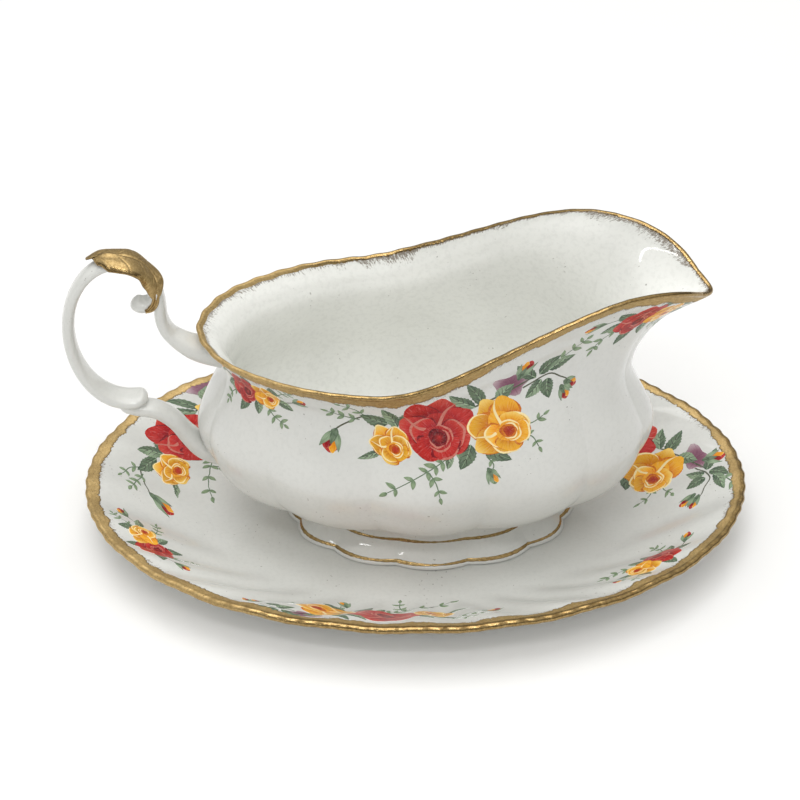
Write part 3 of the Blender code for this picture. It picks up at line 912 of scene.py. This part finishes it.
def petal(art, root, tip, width, colours, lip, lip_width):
    """A rounded petal, darkest at its root, with a paler turned lip at its tip."""
    root, tip = np.array(root, float), np.array(tip, float)
    axis = tip - root
    length = np.linalg.norm(axis)
    axis = axis / length
    side = np.array([-axis[1], axis[0]])
    turn = np.linspace(0, TAU, 26, endpoint=False)
    phases = [art.random.uniform(0, TAU) for _ in range(2)]
    wave = 1 + 0.045 * np.sin(3 * turn + phases[0]) + 0.03 * np.sin(5 * turn + phases[1])
    point = 1 + art.random.uniform(0, 0.1) * np.clip(np.cos(turn), 0, 1) ** 12
    ahead = length * (0.5 + 0.5 * np.cos(turn) * wave * point)
    swell = 0.65 + 0.35 * smooth_step(0, 0.6, ahead / length)
    aside = width / 2 * np.sin(turn) * swell * wave
    outline = root + np.outer(ahead, axis) + np.outer(aside, side)
    art.add(outline, root, tip, colours, radial=True)
    if lip_width:
        arc = np.arange(-6, 7)
        outer = outline[arc]
        taper = lip_width * np.cos(arc / 6 * math.pi / 2)[:, None] ** 0.7
        inner = outer + unit(root + axis * length * 0.4 - outer) * taper
        art.add(np.concatenate([outer, inner[-2:0:-1]]), root, tip, [lip * 0.92, lip], radial=True)


def rose(art, centre, radius, colours, lip, heart_colour, lean, rings=FULL_ROSE, lips=0.6):
    """A rose seen a little from one side, its heart set towards lean and some petals' lips turned."""
    centre = np.array(centre, float)
    heading = np.array([math.cos(lean), math.sin(lean)])
    across = np.array([-heading[1], heading[0]])
    heart = centre + heading * radius * 0.4
    deep, mid, light, pale = colours
    for number, (count, reach, width) in enumerate(rings):
        middle = centre + (heart - centre) * number * 0.8
        order = np.argsort([math.cos(k / count * TAU + 0.2) for k in range(count)])
        for k in order:
            angle = lean + k / count * TAU + 0.3 * number + art.random.uniform(-0.15, 0.15)
            span = radius * reach * art.random.uniform(0.9, 1.06)
            tip = middle + span * np.array([math.cos(angle), math.sin(angle)])
            shade = art.random.uniform(0.75, 1.15)
            toned = [deep] * (3 - number) + [mid * shade, light * shade, pale if k % 2 else light]
            lip_width = 0.07 * radius if art.random.uniform() < lips else 0.0
            shadow = [(deep + mid) / 2] * 2
            petal(art, heart, heart + (tip - heart) * 0.96, radius * width * 1.1, shadow, lip, 0)
            petal(art, heart, tip, radius * width, toned, lip, lip_width)
    for start, end, sway in ((0.1, 0.75, 0.12), (-0.25, -0.7, -0.15)):
        a = heart - heading * radius * 0.32 + across * radius * start
        b = centre - heading * radius * 0.5 + across * radius * end
        widths = (0.1 * radius, 0.08 * radius, 0.02 * radius)
        line(art, (a, (a + b) / 2 - heading * radius * sway, b), widths, lip)
    hearts = ((0.4, (deep, mid, light)), (0.29, (light, mid, deep)), (0.19, (heart_colour, deep)))
    for size, tones in hearts:
        for k in range(3):
            angle = lean + k * TAU / 3 + size * 5
            spoke = np.array([math.cos(angle), math.sin(angle)]) * radius * size
            petal(art, heart - 0.3 * spoke, heart + spoke, radius * size * 1.5, tones, lip,
                  0.06 * radius if size > 0.25 and k != 1 else 0)


def bud(art, root, tip, width, colours, lip):
    """A bud half out of its sepals, on the end of a stem."""
    root, tip = np.array(root, float), np.array(tip, float)
    axis = tip - root
    side = np.array([-axis[1], axis[0]])
    petal(art, root, tip, width, colours[:3], lip, 0.0)
    petal(art, root + axis * 0.1 + side * 0.05, tip - axis * 0.05 + side * 0.16, width * 0.55,
          YELLOW[:3], CREAM, 0.12)
    petal(art, root + axis * 0.1 - side * 0.08, tip - axis * 0.12 - side * 0.14, width * 0.5,
          colours[:2], lip, 0.15)
    for way, reach in ((-1, 0.95), (1, 0.8), (0, 0.62)):
        end = root + axis * reach + side * way * 0.42
        left, rib, right = blade(root - axis * 0.08, end, width * 0.42, 0.7, 0.35 * way)
        art.add(np.concatenate([left, right[-2:0:-1]]), rib[0], rib[-1], LEAF_TONES[way % 2])
    petal(art, root - axis * 0.22, root + axis * 0.16, width * 0.5, LEAF_TONES[0], lip, 0)


def blotch(art, centre, size, reach):
    """A soft mauve shadow behind the flowers."""
    turn = np.linspace(0, TAU, 24, endpoint=False)
    wave = 1 + 0.15 * np.sin(3 * turn + size) + 0.1 * np.sin(5 * turn + 1)
    spread = np.stack([size * wave * np.cos(turn), reach * wave * np.sin(turn)], axis=1)
    edge = np.array(centre) + [max(size, reach) * 1.15, 0]
    art.add(np.array(centre) + spread, centre, edge, MAUVE, radial=True)


def main_spray():
    """The large spray: three roses on a bough, with leaves, buds and fine twigs."""
    art = Art(11)
    blotch(art, (12, 42), 5.5, 4.0)
    line(art, ((-45, 24), (-41, 27), (-33, 31), (-22, 30), (0, 34), (20, 44)), (0.5, 0.6, 0.7, 0.6), STEM)
    line(art, ((16, 40), (24, 43.5), (29, 41), (32, 39)), (0.6, 0.5, 0.4), STEM)
    sprig(art, ((-36, 29), (-41, 30), (-46, 31.5)), 3.0, 3)
    sprig(art, ((-34, 31), (-37, 34), (-42, 36)), 2.6, 2)
    sprig(art, ((-4, 21), (-10, 16), (-16, 12), (-29, 4)), 3.4, 7)
    sprig(art, ((-15, 12), (-13, 8), (-12, 3)), 2.8, 2)
    sprig(art, ((14, 27), (19, 27), (23, 29)), 2.6, 2)
    sprig(art, ((15, 24), (19, 22), (21, 18)), 2.6, 2)
    sprig(art, ((26, 47), (31, 51), (36, 54)), 3.2, 3)
    sprig(art, ((4, 16), (6, 13), (5, 10)), 2.4, 2)
    leaf(art, (-27, 28), (-36, 31.5), 5.4, 0, 0.5)
    leaf(art, (-24, 27), (-29, 35.5), 5.0, 1, -0.4)
    leaf(art, (-23, 27), (-17, 35), 5.4, 0, 0.4)
    leaf(art, (1, 34), (-8, 41), 4.6, 1, 0.6)
    leaf(art, (4, 34), (-3, 45), 4.6, 0, -0.6)
    leaf(art, (8, 36), (13, 42), 5.0, 1, 0.5)
    leaf(art, (20, 43), (12, 50), 4.4, 0, 0.5)
    leaf(art, (21, 44), (27, 50), 5.0, 0, 0.5)
    leaf(art, (22, 42), (17, 36), 4.4, 1, 0.5)
    leaf(art, (24, 42), (25, 34.5), 5.0, 0, -0.4)
    leaf(art, (24, 45), (33, 48), 4.2, 1, 0.4)
    leaf(art, (-1, 21), (-5, 12.5), 6.0, 0, 0.5)
    leaf(art, (3, 20), (12, 14.5), 5.6, 0, -0.5)
    leaf(art, (-8, 19), (-9, 13), 3.0, 1, 0.3)
    leaf(art, (-30, 18), (-38, 15), 2.6, 1, 0.3)
    bud(art, (4.5, 11), (6.5, 6), 3.2, SAGE + SAGE[:1], SAGE[1])
    bud(art, (-44.5, 23.5), (-47.5, 16.5), 5.4, RED, PINK_LIP)
    bud(art, (14.5, 44.5), (16.5, 51), 4.4, RED, PINK_LIP)
    bud(art, (31, 38.5), (35, 36.5), 4.0, RED, PINK_LIP)
    bud(art, (29.5, 37), (31.5, 32.5), 3.8, RED, PINK_LIP)
    rose(art, (-12.3, 28.6), 12.0, RED, PINK_LIP, RED[2], -1.3, lips=0.3)
    rose(art, (-27, 21.5), 7.0, YELLOW, CREAM, RED[2], -0.9, HALF_ROSE)
    rose(art, (8, 27), 10.2, YELLOW, CREAM, RED[1], -0.5)
    return art


def small_spray():
    """The small spray: a red rose and a yellow one, with a leaf and a bud at each end."""
    art = Art(23)
    line(art, ((-19, 1), (-12, 2.5), (0, 0), (12, -1), (20, 2)), (0.4, 0.6, 0.6, 0.4), STEM)
    sprig(art, ((-9, -3), (-13, -7), (-14, -11)), 2.8, 3)
    sprig(art, ((6, -5), (10, -9), (15, -11)), 3.0, 3)
    sprig(art, ((11, 2), (16, 6), (20, 8)), 2.6, 3)
    leaf(art, (-9, 2), (-17, 5.5), 4.6, 0, 0.4)
    leaf(art, (-10, -1), (-16, -4), 4.2, 1, -0.4)
    leaf(art, (-4, -4), (-6, -11.5), 5.0, 0, 0.4)
    leaf(art, (1, -4), (3, -10), 4.4, 1, 0.4)
    leaf(art, (9, 2), (12, 8.5), 4.6, 0, -0.4)
    leaf(art, (10, -1), (18, -3.5), 4.4, 1, 0.4)
    leaf(art, (-1, 4), (0, 11), 4.6, 0, 0.3)
    bud(art, (-19, 1), (-24.5, 0), 3.8, RED, PINK_LIP)
    bud(art, (19.5, 1.8), (25, 4), 3.8, RED, PINK_LIP)
    rose(art, (-5.5, 0.5), 7.4, RED, PINK_LIP, RED[2], -0.9, lips=0.3)
    rose(art, (5.6, 0), 6.2, YELLOW, CREAM, RED[1], -0.6, HALF_ROSE)
    return art


class Sheet:
    """Lays flat art on a wall, upright from a base line and level along it."""

    LEVEL_STEP = 1.0

    def __init__(self, wall, base, low):
        self.wall = wall
        self.base = base
        self.shares = np.linspace(low, 1, 110)

    def lay(self, flat, middle, way):
        """The turns and shares of some flat places; way is -1 where turns run leftwards."""
        turns = middle + np.linspace(-1.7, 1.7, 641)
        grid = self.wall.surface(turns[None, :], self.shares[:, None])
        climb = np.cumsum(np.linalg.norm(np.diff(grid, axis=0), axis=2), axis=0)
        climb = np.concatenate([np.zeros((1, len(turns))), climb])
        climb = climb - [np.interp(self.base, self.shares, column) for column in climb.T]
        levels = np.arange(flat[:, 1].min() - 1, flat[:, 1].max() + 2, self.LEVEL_STEP)
        share_at = np.stack([np.interp(levels, column, self.shares) for column in climb.T], axis=1)
        steps = np.linalg.norm(np.diff(self.wall.surface(turns, share_at), axis=1), axis=2)
        around = np.concatenate([np.zeros((len(levels), 1)), np.cumsum(steps, axis=1)], axis=1)
        around = around - [[np.interp(middle, turns, row)] for row in around]
        level = (flat[:, 1] - levels[0]) / self.LEVEL_STEP
        first = level.astype(int)
        blend = level - first
        each = np.arange(len(flat))
        turn_rows = np.stack([np.interp(way * flat[:, 0], row, turns) for row in around])
        turn = turn_rows[first, each] * (1 - blend) + turn_rows[first + 1, each] * blend
        share_rows = np.stack([np.interp(turn, turns, row) for row in share_at])
        share = share_rows[first, each] * (1 - blend) + share_rows[first + 1, each] * blend
        return turn, share


def inside(outline, spots):
    """Which spots lie within an outline."""
    result = np.zeros(len(spots), bool)
    for (x0, y0), (x1, y1) in zip(outline, np.roll(outline, -1, axis=0)):
        crosses = (y0 > spots[:, 1]) != (y1 > spots[:, 1])
        reach = x0 + (spots[:, 1] - y0) * (x1 - x0) / (y1 - y0 + 1e-12)
        result ^= crosses & (spots[:, 0] < reach)
    return result


def cut_shapes(art):
    """The art as flat triangles, each knowing the topmost shape that covers it."""
    vertices = []
    faces = []
    for outline, *_ in art.shapes:
        faces.append(list(range(len(vertices), len(vertices) + len(outline))))
        vertices.extend(outline.tolist())
    corners = np.array(vertices)
    low, high = corners.min(axis=0), corners.max(axis=0)
    x, y = np.meshgrid(*(np.arange(a, b, PRINT_CELL) for a, b in zip(low, high)))
    spots = np.stack([x.ravel(), y.ravel()], axis=1)
    covered = np.zeros(len(spots), bool)
    for outline, *_ in art.shapes:
        covered |= inside(outline, spots)
    vertices.extend(spots[covered].tolist())
    found = delaunay_2d_cdt([Vector(vertex) for vertex in vertices], [], faces, 1, 1e-5)
    flat = np.array([vertex[:] for vertex in found[0]])
    kept = [(face, max(shapes)) for face, shapes in zip(found[2], found[5]) if shapes]
    return flat, [face for face, _ in kept], [shape for _, shape in kept]


def add_print(name, art, cut, sheet, middle, way, raise_by, scale, place):
    """A printed spray as a thin skin on the glaze, with its colours on its corners."""
    flat, faces, tops = cut
    turn, share = sheet.lay(flat * scale + [0, raise_by], middle, way)
    kept = [k for k, face in enumerate(faces) if max(share[v] for v in face) < PRINT_TOP]
    faces, tops = [faces[k] for k in kept], [tops[k] for k in kept]
    used = sorted({v for face in faces for v in face})
    number = {v: k for k, v in enumerate(used)}
    faces = [tuple(number[v] for v in face) for face in faces]
    flat, turn, share = flat[used], turn[used], share[used]
    outer = sheet.wall.at(turn, share, np.full(len(turn), -PRINT_SKIN))
    inner = sheet.wall.at(turn, share, np.full(len(turn), PRINT_SINK))
    size = len(used)
    edges = {}
    for face in faces:
        for a, b in zip(face, face[1:] + face[:1]):
            edges[(a, b)] = True
    rim = [(a, b) for a, b in edges if (b, a) not in edges]
    every = faces + [tuple(v + size for v in face[::-1]) for face in faces]
    every += [(b, a, a + size, b + size) for a, b in rim]
    piece = add_mesh(name, np.concatenate([outer, inner]), every, place)
    colours = np.ones((len(piece.data.loops), 4))
    strokes = np.zeros((len(piece.data.loops), 3))
    corner_vertex = np.array([v for face in faces for v in face])
    corner_shape = np.repeat(tops, [len(face) for face in faces])
    for shape in set(tops):
        chosen = np.flatnonzero(corner_shape == shape)
        colours[chosen, :3], strokes[chosen] = art.paint(shape, flat[corner_vertex[chosen]])
    paint = piece.data.attributes.new("paint", "FLOAT_COLOR", "CORNER")
    paint.data.foreach_set("color", colours.astype(np.float32).ravel())
    stroke = piece.data.attributes.new("stroke", "FLOAT_VECTOR", "CORNER")
    stroke.data.foreach_set("vector", strokes.astype(np.float32).ravel())
    return piece


# ---------------------------------------------------------------- materials


class Nodes:
    """Short words for building one material's node tree."""

    def __init__(self, name):
        self.material = bpy.data.materials.new(name)
        self.material.use_nodes = True
        self.tree = self.material.node_tree
        self.shader = self.tree.nodes["Principled BSDF"]

    def give(self, value, socket):
        """Link a socket, or set a value on it."""
        if isinstance(value, bpy.types.NodeSocket):
            self.tree.links.new(value, socket)
        elif socket.type == "RGBA":
            socket.default_value = (*value[:3], 1.0)
        else:
            socket.default_value = value

    def add(self, kind, output, inputs, **settings):
        node = self.tree.nodes.new("ShaderNode" + kind)
        for name, value in settings.items():
            setattr(node, name, value)
        for name, value in inputs.items():
            self.give(value, node.inputs[name])
        return node.outputs[output]

    def attribute(self, name, output="Vector"):
        return self.add("Attribute", output, {}, attribute_name=name)

    def place(self):
        """The object's own coordinates, in metres."""
        return self.add("TexCoord", "Object", {})

    def stretch(self, vector, *scale):
        return self.add("VectorMath", "Vector", {0: vector, 1: scale}, operation="MULTIPLY")

    def part(self, vector, axis):
        return self.add("SeparateXYZ", axis, {"Vector": vector})

    def noise(self, vector, scale, detail=3.0, roughness=0.55):
        inputs = {"Vector": vector, "Scale": scale, "Detail": detail, "Roughness": roughness}
        return self.add("TexNoise", "Fac", inputs)

    def math(self, operation, first, second=0.0):
        return self.add("Math", 0, {0: first, 1: second}, operation=operation)

    def ramp(self, value, low, high, start=0.0, end=1.0):
        inputs = {"Value": value, "From Min": low, "From Max": high, "To Min": start, "To Max": end}
        return self.add("MapRange", "Result", inputs, interpolation_type="SMOOTHSTEP")

    def mix(self, share, first, second, blend="MIX"):
        return self.add("Mix", 2, {0: share, 6: first, 7: second}, data_type="RGBA", blend_type=blend)

    def bump(self, height, distance, strength=1.0):
        return self.add("Bump", "Normal", {"Height": height, "Distance": distance, "Strength": strength})

    def set(self, **values):
        for name, value in values.items():
            self.give(value, self.shader.inputs[name.replace("_", " ")])


def glaze(nodes, colour, gloss=0.7):
    """A clear glossy glaze over a colour, with the slight waviness of a dipped coat."""
    place = nodes.place()
    wave = nodes.noise(place, 45, 1)
    grain = nodes.noise(place, 420, 2)
    nodes.set(Base_Color=colour, Roughness=nodes.ramp(grain, 0.3, 0.7, 0.28, 0.36),
              Specular_IOR_Level=0.5 * gloss, Coat_Weight=gloss, Coat_Roughness=0.03,
              Normal=nodes.bump(wave, 0.0004, 0.35))


def speckled(nodes, colour):
    """Uneven tone in the clay, and the rare dark specks that firing leaves."""
    place = nodes.place()
    tone = nodes.ramp(nodes.noise(place, 24, 4), 0.35, 0.68)
    colour = nodes.mix(tone, colour, CHINA_SHADE, "MULTIPLY")
    fine = nodes.ramp(nodes.noise(place, 700, 2), 0.42, 0.72, 0.0, 0.16)
    colour = nodes.mix(fine, colour, CHINA_GREY)
    speck = nodes.ramp(nodes.noise(place, 1300, 0), 0.79, 0.83, 0, 0.6)
    rare = nodes.ramp(nodes.noise(place, 80, 1), 0.55, 0.65)
    return nodes.mix(nodes.math("MULTIPLY", speck, rare), colour, SPECK)


def china_material():
    """White glazed china."""
    nodes = Nodes("glazed_china")
    glaze(nodes, speckled(nodes, CHINA))
    return nodes.material


def rim_china_material():
    """White glazed china, with the brown hairs that a dry gilding brush leaves below a rim, and with
    painted light inside the bowl, where its colour is paler.
    """
    nodes = Nodes("rim_china")
    rim = nodes.attribute("rim_place")
    hair = nodes.noise(nodes.stretch(rim, 2.4, 0.75, 1), 1.0, 4, 0.75)
    patch = nodes.ramp(nodes.noise(nodes.stretch(rim, 0.07, 0.0, 1), 1.0, 3), 0.42, 0.62, 0.2, 1.0)
    reach = nodes.math("MULTIPLY", patch, HAIR_REACH)
    fade = nodes.math("DIVIDE", nodes.math("SUBTRACT", nodes.part(rim, "Y"), nodes.part(rim, "Z")), reach)
    cut = nodes.math("SUBTRACT", hair, nodes.math("MULTIPLY", fade, 0.2))
    thin = nodes.ramp(nodes.part(rim, "Z"), 1.3, 0.3, 0.0, 0.14)
    stain = nodes.ramp(nodes.math("ADD", cut, thin), 0.49, 0.6, 0.0, 0.8)
    # Painted light: the china is paler inside the bowl.
    china = nodes.mix(nodes.attribute("inside", "Fac"), CHINA, INSIDE_CHINA_PAINTED_LIGHT)
    glaze(nodes, nodes.mix(stain, speckled(nodes, china), HAIR))
    return nodes.material


def print_material():
    """Enamel colours under the glaze, with the fine strokes that the artist drew."""
    nodes = Nodes("printed_enamel")
    paint = nodes.attribute("paint", "Color")
    stroke = nodes.attribute("stroke")
    streak = nodes.noise(nodes.stretch(stroke, 0.35, 3.2, 1), 1.0, 3, 0.6)
    grain = nodes.noise(nodes.stretch(stroke, 3.0, 3.0, 1), 1.0, 2)
    dark = nodes.mix(0.55, paint, nodes.mix(1.0, paint, paint, "MULTIPLY"))
    colour = nodes.mix(nodes.ramp(streak, 0.52, 0.68), paint, dark)
    pale = nodes.mix(0.12, paint, CHINA)
    colour = nodes.mix(nodes.ramp(streak, 0.46, 0.3), colour, pale)
    colour = nodes.mix(nodes.ramp(grain, 0.55, 0.85, 0, 0.15), colour, CHINA)
    glaze(nodes, colour, 0.25)
    return nodes.material


def gold_material():
    """Soft brushed gold, worn along its ragged edge, and smoother and shinier where it is burnished, with
    painted shade there: a darker gold standing in for dark reflections.
    """
    nodes = Nodes("brushed_gold")
    rim = nodes.attribute("gilt_place")
    brush = nodes.noise(nodes.stretch(rim, 0.5, 7.0, 1), 1.0, 4, 0.6)
    mottle = nodes.noise(nodes.stretch(rim, 0.9, 1.1, 1), 1.0, 4, 0.65)
    burnish_and_shade = nodes.attribute("burnish_and_shade", "Fac")
    # Painted shade: burnished gold is mixed towards a darker gold, standing in for dark reflections.
    colour = nodes.mix(nodes.ramp(mottle, 0.35, 0.7), nodes.mix(burnish_and_shade, GOLD, PAINTED_SHADE_GOLD),
                       nodes.mix(burnish_and_shade, GOLD_PALE, PAINTED_SHADE_GOLD_PALE))
    pit = nodes.ramp(nodes.noise(nodes.stretch(rim, 2.4, 2.4, 1), 1.0, 1), 0.63, 0.72)
    colour = nodes.mix(nodes.math("MULTIPLY", pit, 0.75), colour, HAIR)
    edge = nodes.math("ADD", nodes.part(rim, "Z"), nodes.math("MULTIPLY", mottle, -0.9))
    worn = nodes.ramp(edge, 0.3, -0.4, 0.0, 0.55)
    colour = nodes.mix(worn, colour, HAIR)
    matte = nodes.ramp(brush, 0.3, 0.7, 0.4, 0.55)
    shine = nodes.ramp(burnish_and_shade, 0.4, 1.0, 1.2, 0.27)
    roughness = nodes.math("MULTIPLY", shine, matte)
    height = nodes.math("ADD", nodes.math("MULTIPLY", brush, 0.6), mottle)
    bump = nodes.bump(height, 0.00012, 0.6)
    nodes.set(Base_Color=colour, Metallic=1.0, Roughness=roughness, Normal=bump)
    return nodes.material


# ---------------------------------------------------------------- stage


def add_area(name, place, size, power):
    """A soft light that faces the middle of the boat."""
    light = bpy.data.lights.new(name, "AREA")
    light.shape = "RECTANGLE"
    light.size, light.size_y = size
    light.energy = power
    lamp = bpy.data.objects.new(name, light)
    lamp.location = place
    lamp.rotation_euler = (Vector(SUBJECT) - Vector(place)).to_track_quat("-Z", "Y").to_euler()
    bpy.context.scene.collection.objects.link(lamp)


def add_camera():
    """The camera that was fitted to the photograph."""
    azimuth, elevation = (math.radians(angle) for angle in CAMERA_ANGLES)
    back = Vector((math.cos(elevation) * math.sin(azimuth), -math.cos(elevation) * math.cos(azimuth),
                   math.sin(elevation)))
    data = bpy.data.cameras.new("camera")
    data.sensor_width = 36
    data.lens = CAMERA_LENS
    camera = bpy.data.objects.new("camera", data)
    camera.location = Vector(CAMERA_TARGET) + back * CAMERA_DISTANCE
    camera.rotation_euler = (-back).to_track_quat("-Z", "Y").to_euler()
    bpy.context.scene.collection.objects.link(camera)
    bpy.context.scene.camera = camera


def add_floor():
    """A wide pale floor."""
    size = FLOOR_REACH
    corners = [(-size, -size, 0), (size, -size, 0), (size, size, 0), (-size, size, 0)]
    floor = add_mesh("floor", corners, [(0, 1, 2, 3)])
    nodes = Nodes("pale_floor")
    nodes.set(Base_Color=nodes.mix(nodes.noise(nodes.place(), 3), *FLOOR_TONES), Roughness=0.9)
    floor.data.materials.append(nodes.material)


def add_world():
    """A studio that lights more from overhead than from the horizon, and looks pale all round."""
    world = bpy.data.worlds.new("studio")
    bpy.context.scene.world = world
    world.use_nodes = True
    tree = world.node_tree
    place = tree.nodes.new("ShaderNodeTexCoord")
    height = tree.nodes.new("ShaderNodeSeparateXYZ")
    light = tree.nodes.new("ShaderNodeMapRange")
    tree.links.new(place.outputs["Generated"], height.inputs["Vector"])
    tree.links.new(height.outputs["Z"], light.inputs["Value"])
    for name, value in zip(("From Min", "From Max", "To Min", "To Max"), WORLD_RISE + WORLD_LIGHT):
        light.inputs[name].default_value = value
    seen = tree.nodes.new("ShaderNodeLightPath").outputs["Is Camera Ray"]
    strength = tree.nodes.new("ShaderNodeMix")
    tree.links.new(seen, strength.inputs["Factor"])
    tree.links.new(light.outputs["Result"], strength.inputs["A"])
    strength.inputs["B"].default_value = BACKDROP
    background = tree.nodes["Background"]
    background.inputs["Color"].default_value = (1.0, 0.995, 0.97, 1)
    tree.links.new(strength.outputs["Result"], background.inputs["Strength"])


def add_stage():
    """The camera, floor, world and lights, which are not part of the object."""
    add_camera()
    add_floor()
    add_world()
    for light in LIGHTS:
        add_area(*light)
    bpy.context.scene.view_settings.view_transform = "Standard"


# ---------------------------------------------------------------- the boat and its stand


def place_piece(piece, body, material, nodes=()):
    """Give a piece its material, its body and the nodes that it replaces."""
    piece.data.materials.clear()
    piece.data.materials.append(material)
    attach(piece, body)
    if nodes:
        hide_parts(*nodes)


def build():
    """Make every piece, in one fixed order."""
    china = rim_china_material()
    gold = gold_material()
    printed = print_material()
    place_piece(stand_china(), "stand", china, ("stand_plate", "stand_foot_ring"))
    place_piece(boat_china(), "boat", china, ("bowl", "foot"))
    place_piece(handle_china(), "boat", china_material(), ("handle",))
    gilding = rim_gilding("stand_gilding", (STAND, STAND), STAND_RIM_WALL, stand_bands,
                          STAND_GILT_COLUMNS, BURNISH_AND_SHADE["stand"], GILT_SEEDS["stand"])
    place_piece(gilding, "stand", gold, ("stand_rim_gilding",))
    gilding = rim_gilding("boat_gilding", (BOAT, BOAT_INSIDE), RIM_WALL, boat_bands,
                          BOAT_GILT_COLUMNS, BURNISH_AND_SHADE["boat"], GILT_SEEDS["boat"], BOAT_PLACE)
    place_piece(gilding, "boat", gold, ("bowl_rim_gilding",))
    for name, middle in FOOT_LINES:
        place_piece(foot_line(name + "_line", middle), "boat", gold, (name + "_gilding",))
    place_piece(thumb_leaf(), "boat", gold, ("thumb_leaf",))
    arts = {"main": main_spray(), "small": small_spray()}
    cuts = {kind: cut_shapes(art) for kind, art in arts.items()}
    for body, sprays, sheet, way, place in (
            ("boat", BOAT_SPRAYS, Sheet(BOAT, *BOAT_SHEET), 1, BOAT_PLACE),
            ("stand", STAND_SPRAYS, Sheet(STAND, *STAND_SHEET), -1, (0, 0, 0))):
        for name, kind, degrees, raise_by, scale in sprays:
            middle = math.radians(degrees)
            piece = add_print(name, arts[kind], cuts[kind], sheet, middle, way, raise_by, scale, place)
            place_piece(piece, body, printed)


add_stage()
build()
